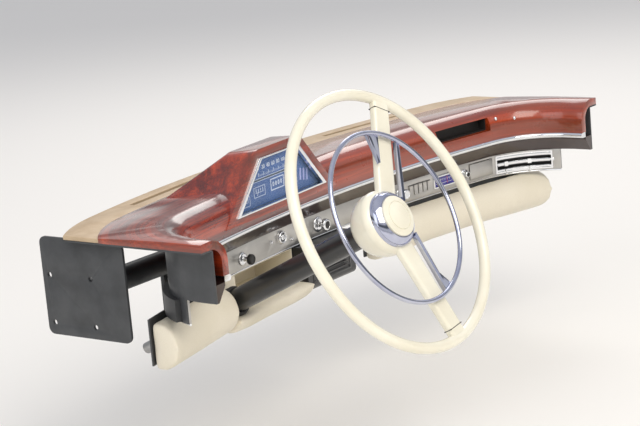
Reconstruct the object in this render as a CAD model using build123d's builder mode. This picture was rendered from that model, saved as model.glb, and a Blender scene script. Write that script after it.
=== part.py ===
# Dashboard with its steering wheel and column, from a 1950s convertible car.
# Millimetres. +X to the passenger's side, +Y forward, +Z up.
# The origin is the middle of the bulkhead bracket's mounting face, on the car's centreline.
# Heights on the dash are given from the chrome moulding, and depths forward from its line in plan.
from build123d import *
from math import asin, cos, degrees, radians, sin, sqrt
import os

os.makedirs("parts", exist_ok=True)

# Plan line of the chrome moulding
dash_half_width = 549.0      # centreline to the side runs
bow_radius = 2208.0          # gentle bow of the front
corner_radius = 121.0        # rounded corners into the side runs
side_reach = 190.0           # how far the ends lie behind the middle
trim_end = 74.0              # where strip and bead end on the corners, from straight ahead
cap_depth = 200.0            # middle of the moulding to the bulkhead
moulding_height = 55.0       # above the cross beam's axis
side_overhang = 60.0         # wood outboard of the side runs

# Wood fascia, with the hood over the instruments
face_rise = 28.0             # straight face above the moulding
brow_radius = 38.0           # quarter round over the face
wood_wall = 14.0
cap_back = 138.0             # depth at which the wood ends
cap_back_height = 60.0
hood_front = 8.0             # proud of the moulding line
hood_margin_side = 22.0
hood_margin_top = 15.0
hood_margin_low = 12.0
hood_corner = 28.0
hood_shoulder = 48.0         # depth from which the hood's top falls away
hood_fall = 5.0
hood_tail = 130.0            # depth at which the hood runs out
hood_tail_sink = 3.0
hood_tail_corner = 6.0

# Under-rail, chrome moulding, control strip and bead
rail_drop = 34.0
strip_face = 29.0            # depth of the strip's face
strip_height = 40.0
strip_thick = 4.0
strip_seat = 0.3             # flat backs short of the curved faces
moulding_half = 5.0
moulding_proud = 4.0
moulding_back = 12.0
bead_radius = 2.0

# Steel panel behind the trim
panel_thick = 3.0
panel_low = -150.0
panel_corner = 5.0           # where the top flange turns down under the brow

# Cream padded roll under the strip
roll_radius = 40.0
roll_middle = 20.0           # depth of the roll's middle
roll_overhang = 33.0         # ends of roll and web outboard of the side runs, on the bow carried on
roll_seam = 0.3              # between the padded pieces

# Opening in the roll: the column, an open tray and a heater box, with a lip under the first two
opening_right = 100.0        # where the roll begins again
lip_height = 30.0
lip_drop = 8.0               # lip lower than the roll
tray_left = -296.0
tray_right = -114.0
tray_back = 118.0
tray_wall = 2.0
column_trim_thick = 2.0      # pale plate round the column
box_right = 36.0
box_gap = 3.0                # tray to heater box
box_front = 4.0
box_back = 110.0
box_low = -160.0
box_corner = 12.0

# Instruments
cluster_x = -185.0
cluster_low = 27.0
cluster_high = 114.0
cluster_half_bottom = 142.0
cluster_half_top = 61.0
bezel_bar = 9.0              # slanted end bars
bezel_rail = 3.0             # thin rails at top and bottom
bezel_proud = 3.0            # in front of the hood
bezel_thick = 9.0
glass_thick = 2.5
face_thick = 2.0
face_gap = 5.0               # glass to face
housing_depth = 40.0
housing_wall = 1.5

# Knobs on the strip: x is counted from the place named under "off"
knobs = [
    {"name": "knob_far_left", "off": "driver", "x": 129.0, "up": 0.0, "collar": 12.0, "radius": 9.0,
     "reach": 20.0},
    {"name": "knob_left", "off": "middle", "x": -270.0, "up": -3.0, "collar": 12.0, "radius": 9.0,
     "reach": 22.0},
    {"name": "knob_middle", "off": "middle", "x": -34.0, "up": 0.0, "collar": 14.0, "radius": 11.0,
     "reach": 22.0},
    {"name": "radio_knob_left", "off": "keys", "x": -23.0, "up": 0.0, "collar": 13.0, "radius": 10.0,
     "reach": 17.0},
    {"name": "radio_knob_right", "off": "dial", "x": 24.0, "up": 0.0, "collar": 10.0, "radius": 7.0,
     "reach": 12.0},
]
collar_proud = 3.0
stem_radius = 4.0
knob_length = 9.0
buttons = [
    {"name": "button_left", "x": -180.0, "up": 3.0, "radius": 3.5},
    {"name": "button_right", "x": -117.0, "up": -7.0, "radius": 3.5},
]
button_proud = 4.0
lock_x = -148.0
lock_up = 4.0
lock_radius = 12.0
lock_hole = 5.0
lock_proud = 6.0

# Radio behind the strip: from the ash drawer inwards come its dial, its keys and its left knob
dial_to_ash = 38.0           # room for the right knob
keys_to_dial = 7.0
radio_overlap = 40.0         # radio's box inboard of the keys
radio_long = 188.0
radio_back = 104.0
radio_half_height = 16.0
key_width = 11.0
key_pitch = 13.0
key_count = 5
key_height = 20.0
key_proud = 3.0
dial_long = 64.0
dial_height = 24.0
dial_frame = 3.0
dial_proud = 3.0

# Ash drawer in the strip
ash_inboard = 109.0
ash_wide = 64.0
ash_high = 30.0
ash_depth = 52.0
ash_wall = 1.5
ash_front = 3.0
ash_proud = 2.5
ash_clearance = 1.0          # round the drawer's front
ash_runner = 0.3             # drawer over the floor of its sleeve
ash_tray_low = 3.0           # tray lower than the drawer's front

# Slot in the wood on the passenger's side
slot_inboard = 252.0
slot_long = 150.0
slot_low = 25.0
slot_high = 50.0
slot_front = 12.0
slot_back = 31.0
slot_wall = 1.5

# Air vents in the rounded corners, angles from straight ahead
vent_start = 22.0
vent_end = 68.0
vent_height = 36.0
vent_back = 46.0
vent_frame = 3.0
vent_frame_angle = 1.2
vent_bar = 4.0
vent_bar_thick = 4.0
vent_proud = 2.0
tab_angles = (31.0, 50.0)
tab_half_angle = 1.5
tab_height = 9.0

# Pale defroster strip behind the wood
defroster_back = 197.0
defroster_thick = 7.0
defroster_slot_long = 220.0
defroster_slot_wide = 12.0
defroster_slot_x = 270.0

# Cross beam and brackets
beam_y = -70.0
beam_radius = 21.0
beam_wall = 2.5
plate_thick = 5.0
plate_back_y = -210.0
plate_low = -60.0
plate_front_y = -30.0
plate_corner = 12.0
pillar_hole_radius = 4.5
pillar_hole_y = -90.0        # middle of the four holes
pillar_hole_z = 0.0
pillar_spacing_y = 90.0
pillar_spacing_z = 80.0
foot_half_width = 60.0
foot_half_height = 40.0
foot_thick = 5.0
foot_corner = 8.0
foot_web = 6.0
foot_web_x = 26.0
foot_web_half_height = 21.0
foot_hole_radius = 4.5
foot_spacing_x = 90.0
foot_spacing_z = 50.0

# Steering
wheel_x = -335.0
wheel_behind = 349.0         # wheel centre behind the middle of the moulding
wheel_above = 51.0
column_tilt = 26.2           # column below the horizontal
rim_radius = 212.5
rim_tube = 9.2
seam_inset = 18.5            # where spoke and rim join, inside the rim's middle
spoke_angles = (29.2, 173.5)  # clockwise from the top as the driver sees it
spoke_root_width = 39.0
spoke_tip_width = 34.0
spoke_thick = 14.0
spoke_corner = 5.0
spoke_root_sink = 8.0        # spoke root forward of the rim's plane
spoke_root = 30.0
bell_radius = 53.0
bell_widest = 16.0
bell_depth = 62.0
bell_neck = 27.0
bell_face = 2.0
bell_edge_bulge = 2.47
bell_side_bulge = 7.27
hub_ring_outer = 46.0
hub_ring_inner = 31.0
hub_ring_high = 14.0
hub_ring_step = 4.0
hub_ring_bulge = 3.25
pad_radius = 33.7
pad_edge = 2.0
pad_crown = 4.0
horn_radius = 142.0
horn_tube = 4.0
horn_forward = 12.0
arm_low = 2.0
arm_high = 9.5
arm_inside = 20.5            # from the spoke's middle to the arm
horn_arms = [                # side 1 is clockwise of the spoke; each arm runs out to the ring
    {"spoke": 29.2, "side": 1, "start": 34.0, "width": 7.0, "flare_from": 110.0, "tip": 7.0},
    {"spoke": 29.2, "side": -1, "start": 90.0, "width": 1.0, "flare_from": 92.0, "tip": 23.5},
    {"spoke": 173.5, "side": -1, "start": 34.0, "width": 7.0, "flare_from": 110.0, "tip": 21.5},
]
shaft_radius = 10.0
shaft_end = 608.0            # down the column from the rim's plane
coupling_length = 38.0       # end that a coupling clamps, behind a groove
groove_length = 4.0
groove_radius = 8.5
jacket_radius = 20.0
jacket_wall = 2.0
jacket_start = 66.0
jacket_end = 552.0
bearing_length = 18.0
bearing_clearance = 0.05
bearing_inset = 6.0
collar_radius = 26.0
collar_start = 365.0
collar_end = 420.0
collar_gap = 1.0             # roll and lip to collar
clamp_from_wheel = 534.0     # middle of the clamp, down the column
clamp_width = 30.0
clamp_wall = 6.0
strut_thick = 8.0
strut_width = 30.0

# Points of the moulding's line in plan
front_y = -cap_depth
bow_centre_y = front_y - bow_radius
corner_x = dash_half_width - corner_radius
corner_y = bow_centre_y + sqrt((bow_radius - corner_radius) ** 2 - corner_x ** 2)
bow_end = degrees(asin(corner_x / (bow_radius - corner_radius)))
side_y = front_y - side_reach
outer_x = dash_half_width + side_overhang


def bow_point(angle, depth=0.0):
    """Point over the bow, by its angle from the centreline and its depth forward of the line."""
    r = bow_radius + depth
    return (r * sin(radians(angle)), bow_centre_y + r * cos(radians(angle)))


def corner_point(angle, depth=0.0):
    """Point over the passenger's rounded corner, by its angle from straight ahead."""
    r = corner_radius + depth
    return (corner_x + r * sin(radians(angle)), corner_y + r * cos(radians(angle)))


def mirrored(point):
    """The same point on the driver's side."""
    return (-point[0], point[1])


def left_corner_point(angle, depth=0.0):
    """Point over the driver's rounded corner."""
    return mirrored(corner_point(angle, depth))


def front_plane(x, depth=0.0, up=0.0):
    """Plane facing the cabin on the bowed front: its x runs to the passenger's side."""
    angle = asin(x / bow_radius)
    px, py = bow_point(degrees(angle), depth)
    return Plane(origin=(px, py, moulding_height + up),
                 x_dir=(cos(angle), -sin(angle), 0), z_dir=(-sin(angle), -cos(angle), 0))


mid_corner = (bow_end + 90) / 2
with BuildLine() as front_line:
    Line((-dash_half_width, side_y), (-dash_half_width, corner_y))
    ThreePointArc(mirrored(corner_point(90)), mirrored(corner_point(mid_corner)),
                  mirrored(corner_point(bow_end)))
    ThreePointArc(mirrored(bow_point(bow_end)), bow_point(0), bow_point(bow_end))
    ThreePointArc(corner_point(bow_end), corner_point(mid_corner), corner_point(90))
    Line((dash_half_width, corner_y), (dash_half_width, side_y))
front_wire = front_line.wire()

# The same line ended on the corners
mid_trim = (bow_end + trim_end) / 2
with BuildLine() as trim_line:
    ThreePointArc(left_corner_point(trim_end), left_corner_point(mid_trim), left_corner_point(bow_end))
    ThreePointArc(mirrored(bow_point(bow_end)), bow_point(0), bow_point(bow_end))
    ThreePointArc(corner_point(bow_end), corner_point(mid_trim), corner_point(trim_end))
trim_wire = trim_line.wire()

# The bow alone, carried on past the corners
roll_reach = dash_half_width + roll_overhang
roll_end = degrees(asin((roll_reach + roll_radius) / bow_radius))
with BuildLine() as roll_line:
    ThreePointArc(mirrored(bow_point(roll_end)), bow_point(0), bow_point(roll_end))
roll_wire = roll_line.wire()

# Sections are drawn at the driver's end of a line: x is depth forward or outboard, y is height
section_plane = Plane(origin=(-dash_half_width, side_y, moulding_height),
                      x_dir=(-1, 0, 0), z_dir=(0, 1, 0))
trim_x, trim_y = left_corner_point(trim_end)
trim_plane = Plane(origin=(trim_x, trim_y, moulding_height),
                   x_dir=(-sin(radians(trim_end)), cos(radians(trim_end)), 0),
                   z_dir=(cos(radians(trim_end)), sin(radians(trim_end)), 0))
roll_x, roll_y = mirrored(bow_point(roll_end))
roll_plane = Plane(origin=(roll_x, roll_y, moulding_height),
                   x_dir=(-sin(radians(roll_end)), cos(radians(roll_end)), 0),
                   z_dir=(cos(radians(roll_end)), sin(radians(roll_end)), 0))
strip_top = -rail_drop
strip_low = strip_top - strip_height
strip_middle = (strip_top + strip_low) / 2
strip_back = strip_face + strip_thick
pin_face = strip_face - strip_seat
pin_back = strip_back - strip_seat
web_back = strip_back + panel_thick
brow_top = face_rise + brow_radius
wood_inside = brow_top - wood_wall
flange_low = wood_inside - panel_thick
roll_top = strip_low - 2 * bead_radius
roll_low = roll_top - 2 * roll_radius
roll_back = strip_back - roll_seam
tray_low = roll_low - lip_drop + lip_height
tray_high = roll_top - roll_seam
opening_left = wheel_x - collar_radius - 2 * collar_gap
ash_x = dash_half_width - ash_inboard
dial_right = ash_x - ash_wide / 2 - dial_to_ash
dial_left = dial_right - dial_long
keys_right = dial_left - keys_to_dial
keys_left = keys_right - (key_count - 1) * key_pitch - key_width
radio_left = keys_left - radio_overlap
knob_from = {"driver": -dash_half_width, "middle": 0.0, "keys": keys_left, "dial": dial_right}
slot_left = dash_half_width - slot_inboard
slot_right = slot_left + slot_long
seam_radius = rim_radius - seam_inset
coupling_start = shaft_end - coupling_length
fan_lean = (cluster_half_bottom - cluster_half_top) / (cluster_high - cluster_low)
glass_depth = bezel_thick - bezel_proud - hood_front
face_depth = glass_depth + glass_thick + face_gap
lock_middle = strip_middle + lock_up
plate_x = dash_half_width + web_back
plate_top = moulding_height + flange_low

# Axis of the column, with heights along it towards the driver
wheel_centre = Vector(wheel_x, front_y - wheel_behind, moulding_height + wheel_above)
to_driver = Vector(0, -cos(radians(column_tilt)), sin(radians(column_tilt)))
up_wheel = Vector(0, sin(radians(column_tilt)), cos(radians(column_tilt)))
column_axis = Axis(wheel_centre, to_driver)
wheel_plane = Plane(origin=wheel_centre, x_dir=(1, 0, 0), z_dir=to_driver)
half_plane = Plane(origin=wheel_centre, x_dir=(1, 0, 0), z_dir=-up_wheel)
clamp_drop = clamp_from_wheel * sin(radians(column_tilt)) - wheel_centre.Z


def finish(builder, name):
    """Label a piece and write it."""
    builder.part.label = name
    export_step(builder.part, "parts/" + name + ".step")


def section(*points, plane=section_plane, path=front_wire):
    """Section with straight sides, swept along the front."""
    with BuildSketch(plane) as profile:
        with BuildLine():
            Polyline(*points, close=True)
        make_face()
    sweep(sections=profile.sketch.face(), path=path)


def knob_x(knob):
    """Place of a knob across the dash."""
    return knob_from[knob["off"]] + knob["x"]


def bow_angle(x):
    """Angle over the bow of a point of the moulding's line."""
    return degrees(asin(x / bow_radius))


def band(point, start, end, low, high, near, far, mode=Mode.ADD):
    """Curved band over the bow or the corner, between two angles, two heights and two depths."""
    middle = (start + end) / 2
    with BuildSketch(Plane.XY.offset(moulding_height + low)) as plan:
        with BuildLine():
            ThreePointArc(point(start, near), point(middle, near), point(end, near))
            Line(point(end, near), point(end, far))
            ThreePointArc(point(end, far), point(middle, far), point(start, far))
            Line(point(start, far), point(start, near))
        make_face()
    extrude(plan.sketch, amount=high - low, mode=mode)


def front_box(x0, x1, low, high, near, far, mode=Mode.ADD, square_at=None):
    """Box between two x, two heights and two depths, square to the bowed front at its middle or at an x."""
    x = (x0 + x1) / 2 if square_at is None else square_at
    with Locations(front_plane(x, near, (low + high) / 2)):
        with Locations(((x0 + x1) / 2 - x, 0, 0)):
            Box(x1 - x0, high - low, far - near, align=(Align.CENTER, Align.CENTER, Align.MAX), mode=mode)


def front_disc(x, up, radius, near, far, mode=Mode.ADD):
    """Round pin or hole square to the bowed front between two depths."""
    with Locations(front_plane(x, near, up)):
        Cylinder(radius, far - near, align=(Align.CENTER, Align.CENTER, Align.MAX), mode=mode)


def fan(side, top, low, depth, corner=0.0):
    """Fan-shaped face round the instruments, grown by the given margins, at a depth."""
    z_low = cluster_low - low
    z_high = cluster_high + top
    half_low = cluster_half_bottom + side + fan_lean * low
    half_high = cluster_half_top + side - fan_lean * top
    with BuildSketch(front_plane(cluster_x, depth)) as outline:
        with BuildLine():
            Polyline((-half_low, z_low), (half_low, z_low), (half_high, z_high), (-half_high, z_high),
                     close=True)
        make_face()
        if corner > 0:
            fillet(outline.vertices().group_by(Axis.Y)[-1], corner)
    return outline.sketch


def fan_block(side, top, low, near, far, mode=Mode.ADD):
    """Fan-shaped block between two depths."""
    extrude(fan(side, top, low, near), amount=-(far - near), mode=mode)


def column_disc(radius, start, end, mode=Mode.ADD):
    """Round solid on the column's axis between two distances down from the wheel's plane."""
    with Locations(wheel_plane.offset(-end)):
        Cylinder(radius, end - start, align=(Align.CENTER, Align.CENTER, Align.MIN), mode=mode)


def spoke_plane(angle, radius, sink):
    """Plane across a spoke at a radius, sunk forward of the rim's plane."""
    along = wheel_plane.x_dir * sin(radians(angle)) + up_wheel * cos(radians(angle))
    across = wheel_plane.x_dir * cos(radians(angle)) - up_wheel * sin(radians(angle))
    return Plane(origin=wheel_centre + along * radius - to_driver * sink, x_dir=across, z_dir=along)


def arm_plane(angle):
    """Plane under the horn ring's arms: x runs out along a spoke, y to its clockwise side."""
    along = wheel_plane.x_dir * sin(radians(angle)) + up_wheel * cos(radians(angle))
    return Plane(origin=wheel_centre + to_driver * arm_high, x_dir=along, z_dir=-to_driver)


def trimmed():
    """Cut what was swept to the pillars' side planes and the bulkhead."""
    with Locations((0, 0, moulding_height)):
        Box(2 * outer_x, 4 * (cap_depth + side_reach), 2 * outer_x,
            align=(Align.CENTER, Align.MAX, Align.CENTER), mode=Mode.INTERSECT)


def ended():
    """Cut what was swept along the roll's line at both of its ends."""
    Box(2 * roll_reach, 4 * (cap_depth + side_reach), 2 * outer_x, mode=Mode.INTERSECT)


# Wood fascia: face, quarter-round brow and cap, with the hood over the instruments
hood_face = fan(hood_margin_side, hood_margin_top, hood_margin_low, -hood_front, hood_corner)
hood_crest = fan(hood_margin_side, hood_margin_top - hood_fall, hood_margin_low, hood_shoulder, hood_corner)
tail_low = wood_inside - wood_wall
tail_high = cap_back_height - hood_tail_sink
tail_half = cluster_half_bottom + hood_margin_side
with BuildSketch(front_plane(cluster_x, hood_tail)) as tail:
    with BuildLine():
        Polyline((-tail_half, tail_low), (tail_half, tail_low), (tail_half, tail_high),
                 (-tail_half, tail_high), close=True)
    make_face()
    fillet(tail.vertices().group_by(Axis.Y)[-1], hood_tail_corner)

with BuildPart() as hood_form:
    loft(sections=[hood_face.face(), hood_crest.face(), tail.sketch.face()], ruled=True)

with BuildPart() as wood_fascia:
    with BuildSketch(section_plane):
        with BuildLine():
            Line((0, moulding_half), (0, face_rise))
            RadiusArc((0, face_rise), (brow_radius, brow_top), brow_radius)
            Polyline((brow_radius, brow_top), (cap_back, cap_back_height), (cap_back, wood_inside),
                     (brow_radius, wood_inside))
            RadiusArc((brow_radius, wood_inside), (wood_wall, face_rise), -(brow_radius - wood_wall))
            Polyline((wood_wall, face_rise), (wood_wall, moulding_half), (0, moulding_half))
        make_face()
    sweep(path=front_wire)
    trimmed()
    add(hood_form.part)
    fan_block(0, 0, 0, -2 * hood_front, glass_depth + housing_depth, Mode.SUBTRACT)
    front_box(slot_left, slot_right, slot_low, slot_high, -wood_wall, slot_back, Mode.SUBTRACT)
finish(wood_fascia, "wood_fascia")

# Wood under-rail, set back under the moulding
with BuildPart() as wood_rail:
    section((moulding_back, -moulding_half), (web_back - panel_thick, -moulding_half),
            (web_back - panel_thick, strip_top), (strip_face, strip_top),
            (moulding_back, -2 * moulding_half))
finish(wood_rail, "wood_rail")

# Chrome moulding with its flat back
with BuildPart() as chrome_moulding:
    with BuildSketch(section_plane):
        with BuildLine():
            Polyline((0, moulding_half), (moulding_back, moulding_half), (moulding_back, -moulding_half),
                     (0, -moulding_half))
            ThreePointArc((0, -moulding_half), (-moulding_proud, 0), (0, moulding_half))
        make_face()
    sweep(path=front_wire)
finish(chrome_moulding, "chrome_moulding")

# Thin bead under the strip
with BuildPart() as strip_bead:
    with BuildSketch(trim_plane):
        with Locations((strip_back - bead_radius, strip_low - bead_radius)):
            Circle(bead_radius)
    sweep(path=trim_wire)
finish(strip_bead, "strip_bead")

# Control strip with the holes for what is set in it
ash_half_wide = ash_wide / 2 + ash_clearance
ash_half_high = ash_high / 2 + ash_clearance
with BuildPart() as control_strip:
    section((strip_face, strip_top), (strip_back, strip_top), (strip_back, strip_low), (strip_face, strip_low),
            plane=trim_plane, path=trim_wire)
    for knob in knobs:
        front_disc(knob_x(knob), strip_middle + knob["up"], stem_radius, 0, 2 * strip_back, Mode.SUBTRACT)
    for button in buttons:
        front_disc(button["x"], strip_middle + button["up"], button["radius"], 0, 2 * strip_back,
                   Mode.SUBTRACT)
    front_disc(lock_x, lock_middle, lock_radius, 0, 2 * strip_back, Mode.SUBTRACT)
    front_box(keys_left, keys_right, strip_middle - key_height / 2, strip_middle + key_height / 2,
              0, 2 * strip_back, Mode.SUBTRACT)
    front_box(dial_left, dial_right, strip_middle - dial_height / 2, strip_middle + dial_height / 2,
              0, 2 * strip_back, Mode.SUBTRACT)
    front_box(ash_x - ash_half_wide, ash_x + ash_half_wide, strip_middle - ash_half_high,
              strip_middle + ash_half_high, 0, 2 * strip_back, Mode.SUBTRACT)
    for point in (corner_point, left_corner_point):
        band(point, vent_start, vent_end, strip_middle - vent_height / 2, strip_middle + vent_height / 2,
             0, 2 * strip_back, Mode.SUBTRACT)
finish(control_strip, "control_strip")

# Steel panel: web behind the trim and flange under the cap
tray_start = bow_angle(tray_left)
tray_end = bow_angle(tray_right)
opening_end = bow_angle(opening_right)
with BuildPart() as steel_panel:
    section((strip_back, panel_low), (web_back, panel_low), (web_back, strip_low), (strip_back, strip_low),
            plane=roll_plane, path=roll_wire)
    ended()
    section((strip_back, strip_top), (web_back, strip_top), (web_back, flange_low),
            (defroster_back, flange_low), (defroster_back, wood_inside),
            (strip_back + panel_corner, wood_inside), (strip_back, wood_inside - panel_corner / 2))
    trimmed()
    section((strip_back, strip_low), (web_back, strip_low), (web_back, strip_top), (strip_back, strip_top),
            plane=trim_plane, path=trim_wire)
    add(hood_form.part, mode=Mode.SUBTRACT)
    band(bow_point, tray_start, opening_end, tray_low, tray_high, 0, 2 * strip_back, Mode.SUBTRACT)
    band(bow_point, tray_end, opening_end, panel_low - panel_thick, tray_high, 0, 2 * strip_back,
         Mode.SUBTRACT)
    column_disc(collar_radius, 0, jacket_end, Mode.SUBTRACT)
    front_box(ash_x - ash_half_wide, ash_x + ash_half_wide, strip_middle - ash_half_high,
              strip_middle + ash_half_high, 0, 2 * strip_back, Mode.SUBTRACT)
    for point in (corner_point, left_corner_point):
        band(point, vent_start, vent_end, strip_middle - vent_height / 2, strip_middle + vent_height / 2,
             0, 2 * strip_back, Mode.SUBTRACT)
finish(steel_panel, "steel_panel")

# Padded roll: left and right of the opening, and the lip under it
def padded_length(drop=0.0):
    """Round of the roll along the front, cut flat behind, with its middle lowered by a drop."""
    with BuildSketch(roll_plane) as profile:
        with Locations((roll_middle, roll_top - roll_radius - drop)):
            Circle(roll_radius)
        with Locations((roll_back, roll_top - roll_radius - drop)):
            Rectangle(2 * roll_radius, 2 * roll_radius, align=(Align.MIN, Align.CENTER), mode=Mode.SUBTRACT)
    sweep(sections=profile.sketch.face(), path=roll_wire)
    ended()


with BuildPart() as roll_left:
    padded_length()
    with Locations((opening_left, 0, 0)):
        Box(2 * outer_x, 2 * outer_x, 2 * outer_x, align=(Align.MIN, Align.MAX, Align.CENTER),
            mode=Mode.SUBTRACT)
finish(roll_left, "roll_left")

with BuildPart() as roll_right:
    padded_length()
    with Locations((opening_right, 0, 0)):
        Box(2 * outer_x, 2 * outer_x, 2 * outer_x, align=(Align.MAX, Align.MAX, Align.CENTER),
            mode=Mode.SUBTRACT)
finish(roll_right, "roll_right")

with BuildPart() as roll_lip:
    padded_length(lip_drop)
    with Locations((opening_left + roll_seam, 0, moulding_height + tray_low)):
        Box(tray_right - opening_left - 2 * roll_seam, 2 * outer_x, outer_x,
            align=(Align.MIN, Align.MAX, Align.MAX), mode=Mode.INTERSECT)
    column_disc(collar_radius + collar_gap, 0, jacket_end, Mode.SUBTRACT)
finish(roll_lip, "roll_lip")

# Pale plate that closes the opening round the column
with BuildPart() as column_trim:
    band(bow_point, bow_angle(opening_left), bow_angle(tray_left), tray_low, tray_high,
         strip_back - column_trim_thick, strip_back)
    with Locations((opening_left + roll_seam, 0, 0)):
        Box(outer_x, 2 * outer_x, 2 * outer_x, align=(Align.MIN, Align.MAX, Align.CENTER), mode=Mode.INTERSECT)
    column_disc(collar_radius, 0, jacket_end, Mode.SUBTRACT)
finish(column_trim, "column_trim")

# Heater box beside the tray
with BuildPart() as heater_box:
    band(bow_point, bow_angle(tray_right + box_gap), bow_angle(box_right), box_low, tray_high,
         box_front, box_back)
    fillet(heater_box.edges().group_by(Axis.Z)[0].sort_by(Axis.Y)[:1], box_corner)
finish(heater_box, "heater_box")

# Open tray behind the roll
wall_turn = degrees(tray_wall / bow_radius)
with BuildPart() as tray_liner:
    band(bow_point, tray_start, tray_end, tray_low, tray_high, strip_back, tray_back)
    band(bow_point, tray_start + wall_turn, tray_end - wall_turn, tray_low + tray_wall,
         tray_high - tray_wall, 0, tray_back - tray_wall, Mode.SUBTRACT)
finish(tray_liner, "tray_liner")

# Instruments: chrome bezel, glass, face and the housing behind
with BuildPart() as cluster_bezel:
    fan_block(0, 0, 0, -hood_front - bezel_proud, glass_depth)
    fan_block(-bezel_bar, -bezel_rail, -bezel_rail, -hood_front - 2 * bezel_proud, glass_depth, Mode.SUBTRACT)
finish(cluster_bezel, "cluster_bezel")

with BuildPart() as cluster_glass:
    fan_block(-housing_wall, -housing_wall, -housing_wall, glass_depth, glass_depth + glass_thick)
finish(cluster_glass, "cluster_glass")

with BuildPart() as cluster_face:
    fan_block(-housing_wall, -housing_wall, -housing_wall, face_depth, face_depth + face_thick)
finish(cluster_face, "cluster_face")

with BuildPart() as cluster_housing:
    fan_block(0, 0, 0, glass_depth, glass_depth + housing_depth)
    fan_block(-housing_wall, -housing_wall, -housing_wall, glass_depth,
              glass_depth + housing_depth - housing_wall, Mode.SUBTRACT)
finish(cluster_housing, "cluster_housing")

# Knobs with their collars, buttons and the ignition lock
for knob in knobs:
    up = strip_middle + knob["up"]
    with BuildPart() as one_knob:
        front_disc(knob_x(knob), up, knob["collar"], pin_face - collar_proud, pin_face)
        front_disc(knob_x(knob), up, stem_radius, strip_face - knob["reach"], pin_back)
        front_disc(knob_x(knob), up, knob["radius"], strip_face - knob["reach"],
                   strip_face - knob["reach"] + knob_length)
    finish(one_knob, knob["name"])

for button in buttons:
    with BuildPart() as one_button:
        front_disc(button["x"], strip_middle + button["up"], button["radius"],
                   strip_face - button_proud, pin_back)
    finish(one_button, button["name"])

with BuildPart() as ignition_lock:
    front_disc(lock_x, lock_middle, lock_radius, strip_face - lock_proud, pin_back)
    front_disc(lock_x, lock_middle, lock_hole, strip_face - 2 * lock_proud, strip_face, Mode.SUBTRACT)
finish(ignition_lock, "ignition_lock")

# Radio: box behind the panel, keys, framed dial
with BuildPart() as radio_box:
    band(bow_point, bow_angle(radio_left), bow_angle(radio_left + radio_long), strip_middle - radio_half_height,
         strip_middle + radio_half_height, web_back, radio_back)
finish(radio_box, "radio_box")

with BuildPart() as radio_keys:
    front_box(keys_left, keys_right, strip_middle - key_height / 2, strip_middle + key_height / 2,
              strip_face, pin_back)
    for number in range(key_count):
        key = keys_left + number * key_pitch
        front_box(key, key + key_width, strip_middle - key_height / 2, strip_middle + key_height / 2,
                  strip_face - key_proud, strip_face, square_at=(keys_left + keys_right) / 2)
finish(radio_keys, "radio_keys")

with BuildPart() as radio_frame:
    front_box(dial_left, dial_right, strip_middle - dial_height / 2, strip_middle + dial_height / 2,
              strip_face - dial_proud, pin_back)
    front_box(dial_left + dial_frame, dial_right - dial_frame, strip_middle - dial_height / 2 + dial_frame,
              strip_middle + dial_height / 2 - dial_frame, 0, strip_back, Mode.SUBTRACT)
finish(radio_frame, "radio_frame")

with BuildPart() as radio_dial:
    front_box(dial_left + dial_frame, dial_right - dial_frame, strip_middle - dial_height / 2 + dial_frame,
              strip_middle + dial_height / 2 - dial_frame, strip_face, pin_back)
finish(radio_dial, "radio_dial")

# Ash drawer in its sleeve
sleeve_back = web_back + ash_depth
with BuildPart() as ash_sleeve:
    front_box(ash_x - ash_half_wide - ash_wall, ash_x + ash_half_wide + ash_wall,
              strip_middle - ash_half_high - ash_wall, strip_middle + ash_half_high + ash_wall,
              web_back, sleeve_back + ash_wall)
    front_box(ash_x - ash_half_wide, ash_x + ash_half_wide, strip_middle - ash_half_high,
              strip_middle + ash_half_high, 0, sleeve_back, Mode.SUBTRACT)
finish(ash_sleeve, "ash_sleeve")

ash_face = strip_face - ash_proud
ash_box_half = ash_half_wide - ash_clearance - ash_wall
ash_box_low = strip_middle - ash_half_high + ash_runner
ash_box_high = strip_middle + ash_high / 2 - ash_tray_low
with BuildPart() as ash_drawer:
    front_box(ash_x - ash_wide / 2, ash_x + ash_wide / 2, strip_middle - ash_high / 2,
              strip_middle + ash_high / 2, ash_face, ash_face + ash_front)
    front_box(ash_x - ash_box_half, ash_x + ash_box_half, ash_box_low, ash_box_high,
              ash_face + ash_front, ash_face + ash_depth)
    front_box(ash_x - ash_box_half + ash_wall, ash_x + ash_box_half - ash_wall, ash_box_low + ash_wall,
              strip_middle + ash_high, ash_face + ash_front, ash_face + ash_depth - ash_wall, Mode.SUBTRACT)
finish(ash_drawer, "ash_drawer")

# Liner of the slot in the wood
with BuildPart() as slot_liner:
    front_box(slot_left, slot_right, slot_low, slot_high, slot_front, slot_back)
    front_box(slot_left + slot_wall, slot_right - slot_wall, slot_low + slot_wall, slot_high - slot_wall,
              0, slot_back - slot_wall, Mode.SUBTRACT)
finish(slot_liner, "slot_liner")

# Air vents in the corners: frame, bar across the opening and two tabs on it
for name, point in (("vent_left", left_corner_point), ("vent_right", corner_point)):
    vent_half = vent_height / 2
    with BuildPart() as vent:
        band(point, vent_start, vent_end, strip_middle - vent_half, strip_middle + vent_half,
             strip_face - vent_proud, vent_back)
        band(point, vent_start + vent_frame_angle, vent_end - vent_frame_angle,
             strip_middle - vent_half + vent_frame, strip_middle + vent_half - vent_frame,
             0, vent_back - vent_frame, Mode.SUBTRACT)
        band(point, vent_start, vent_end, strip_middle - vent_bar / 2, strip_middle + vent_bar / 2,
             strip_face, strip_face + vent_bar_thick)
        for angle in tab_angles:
            band(point, angle - tab_half_angle, angle + tab_half_angle, strip_middle - tab_height / 2,
                 strip_middle + tab_height / 2, strip_face - 2 * vent_proud, strip_face + vent_bar_thick)
    finish(vent, name)

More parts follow.
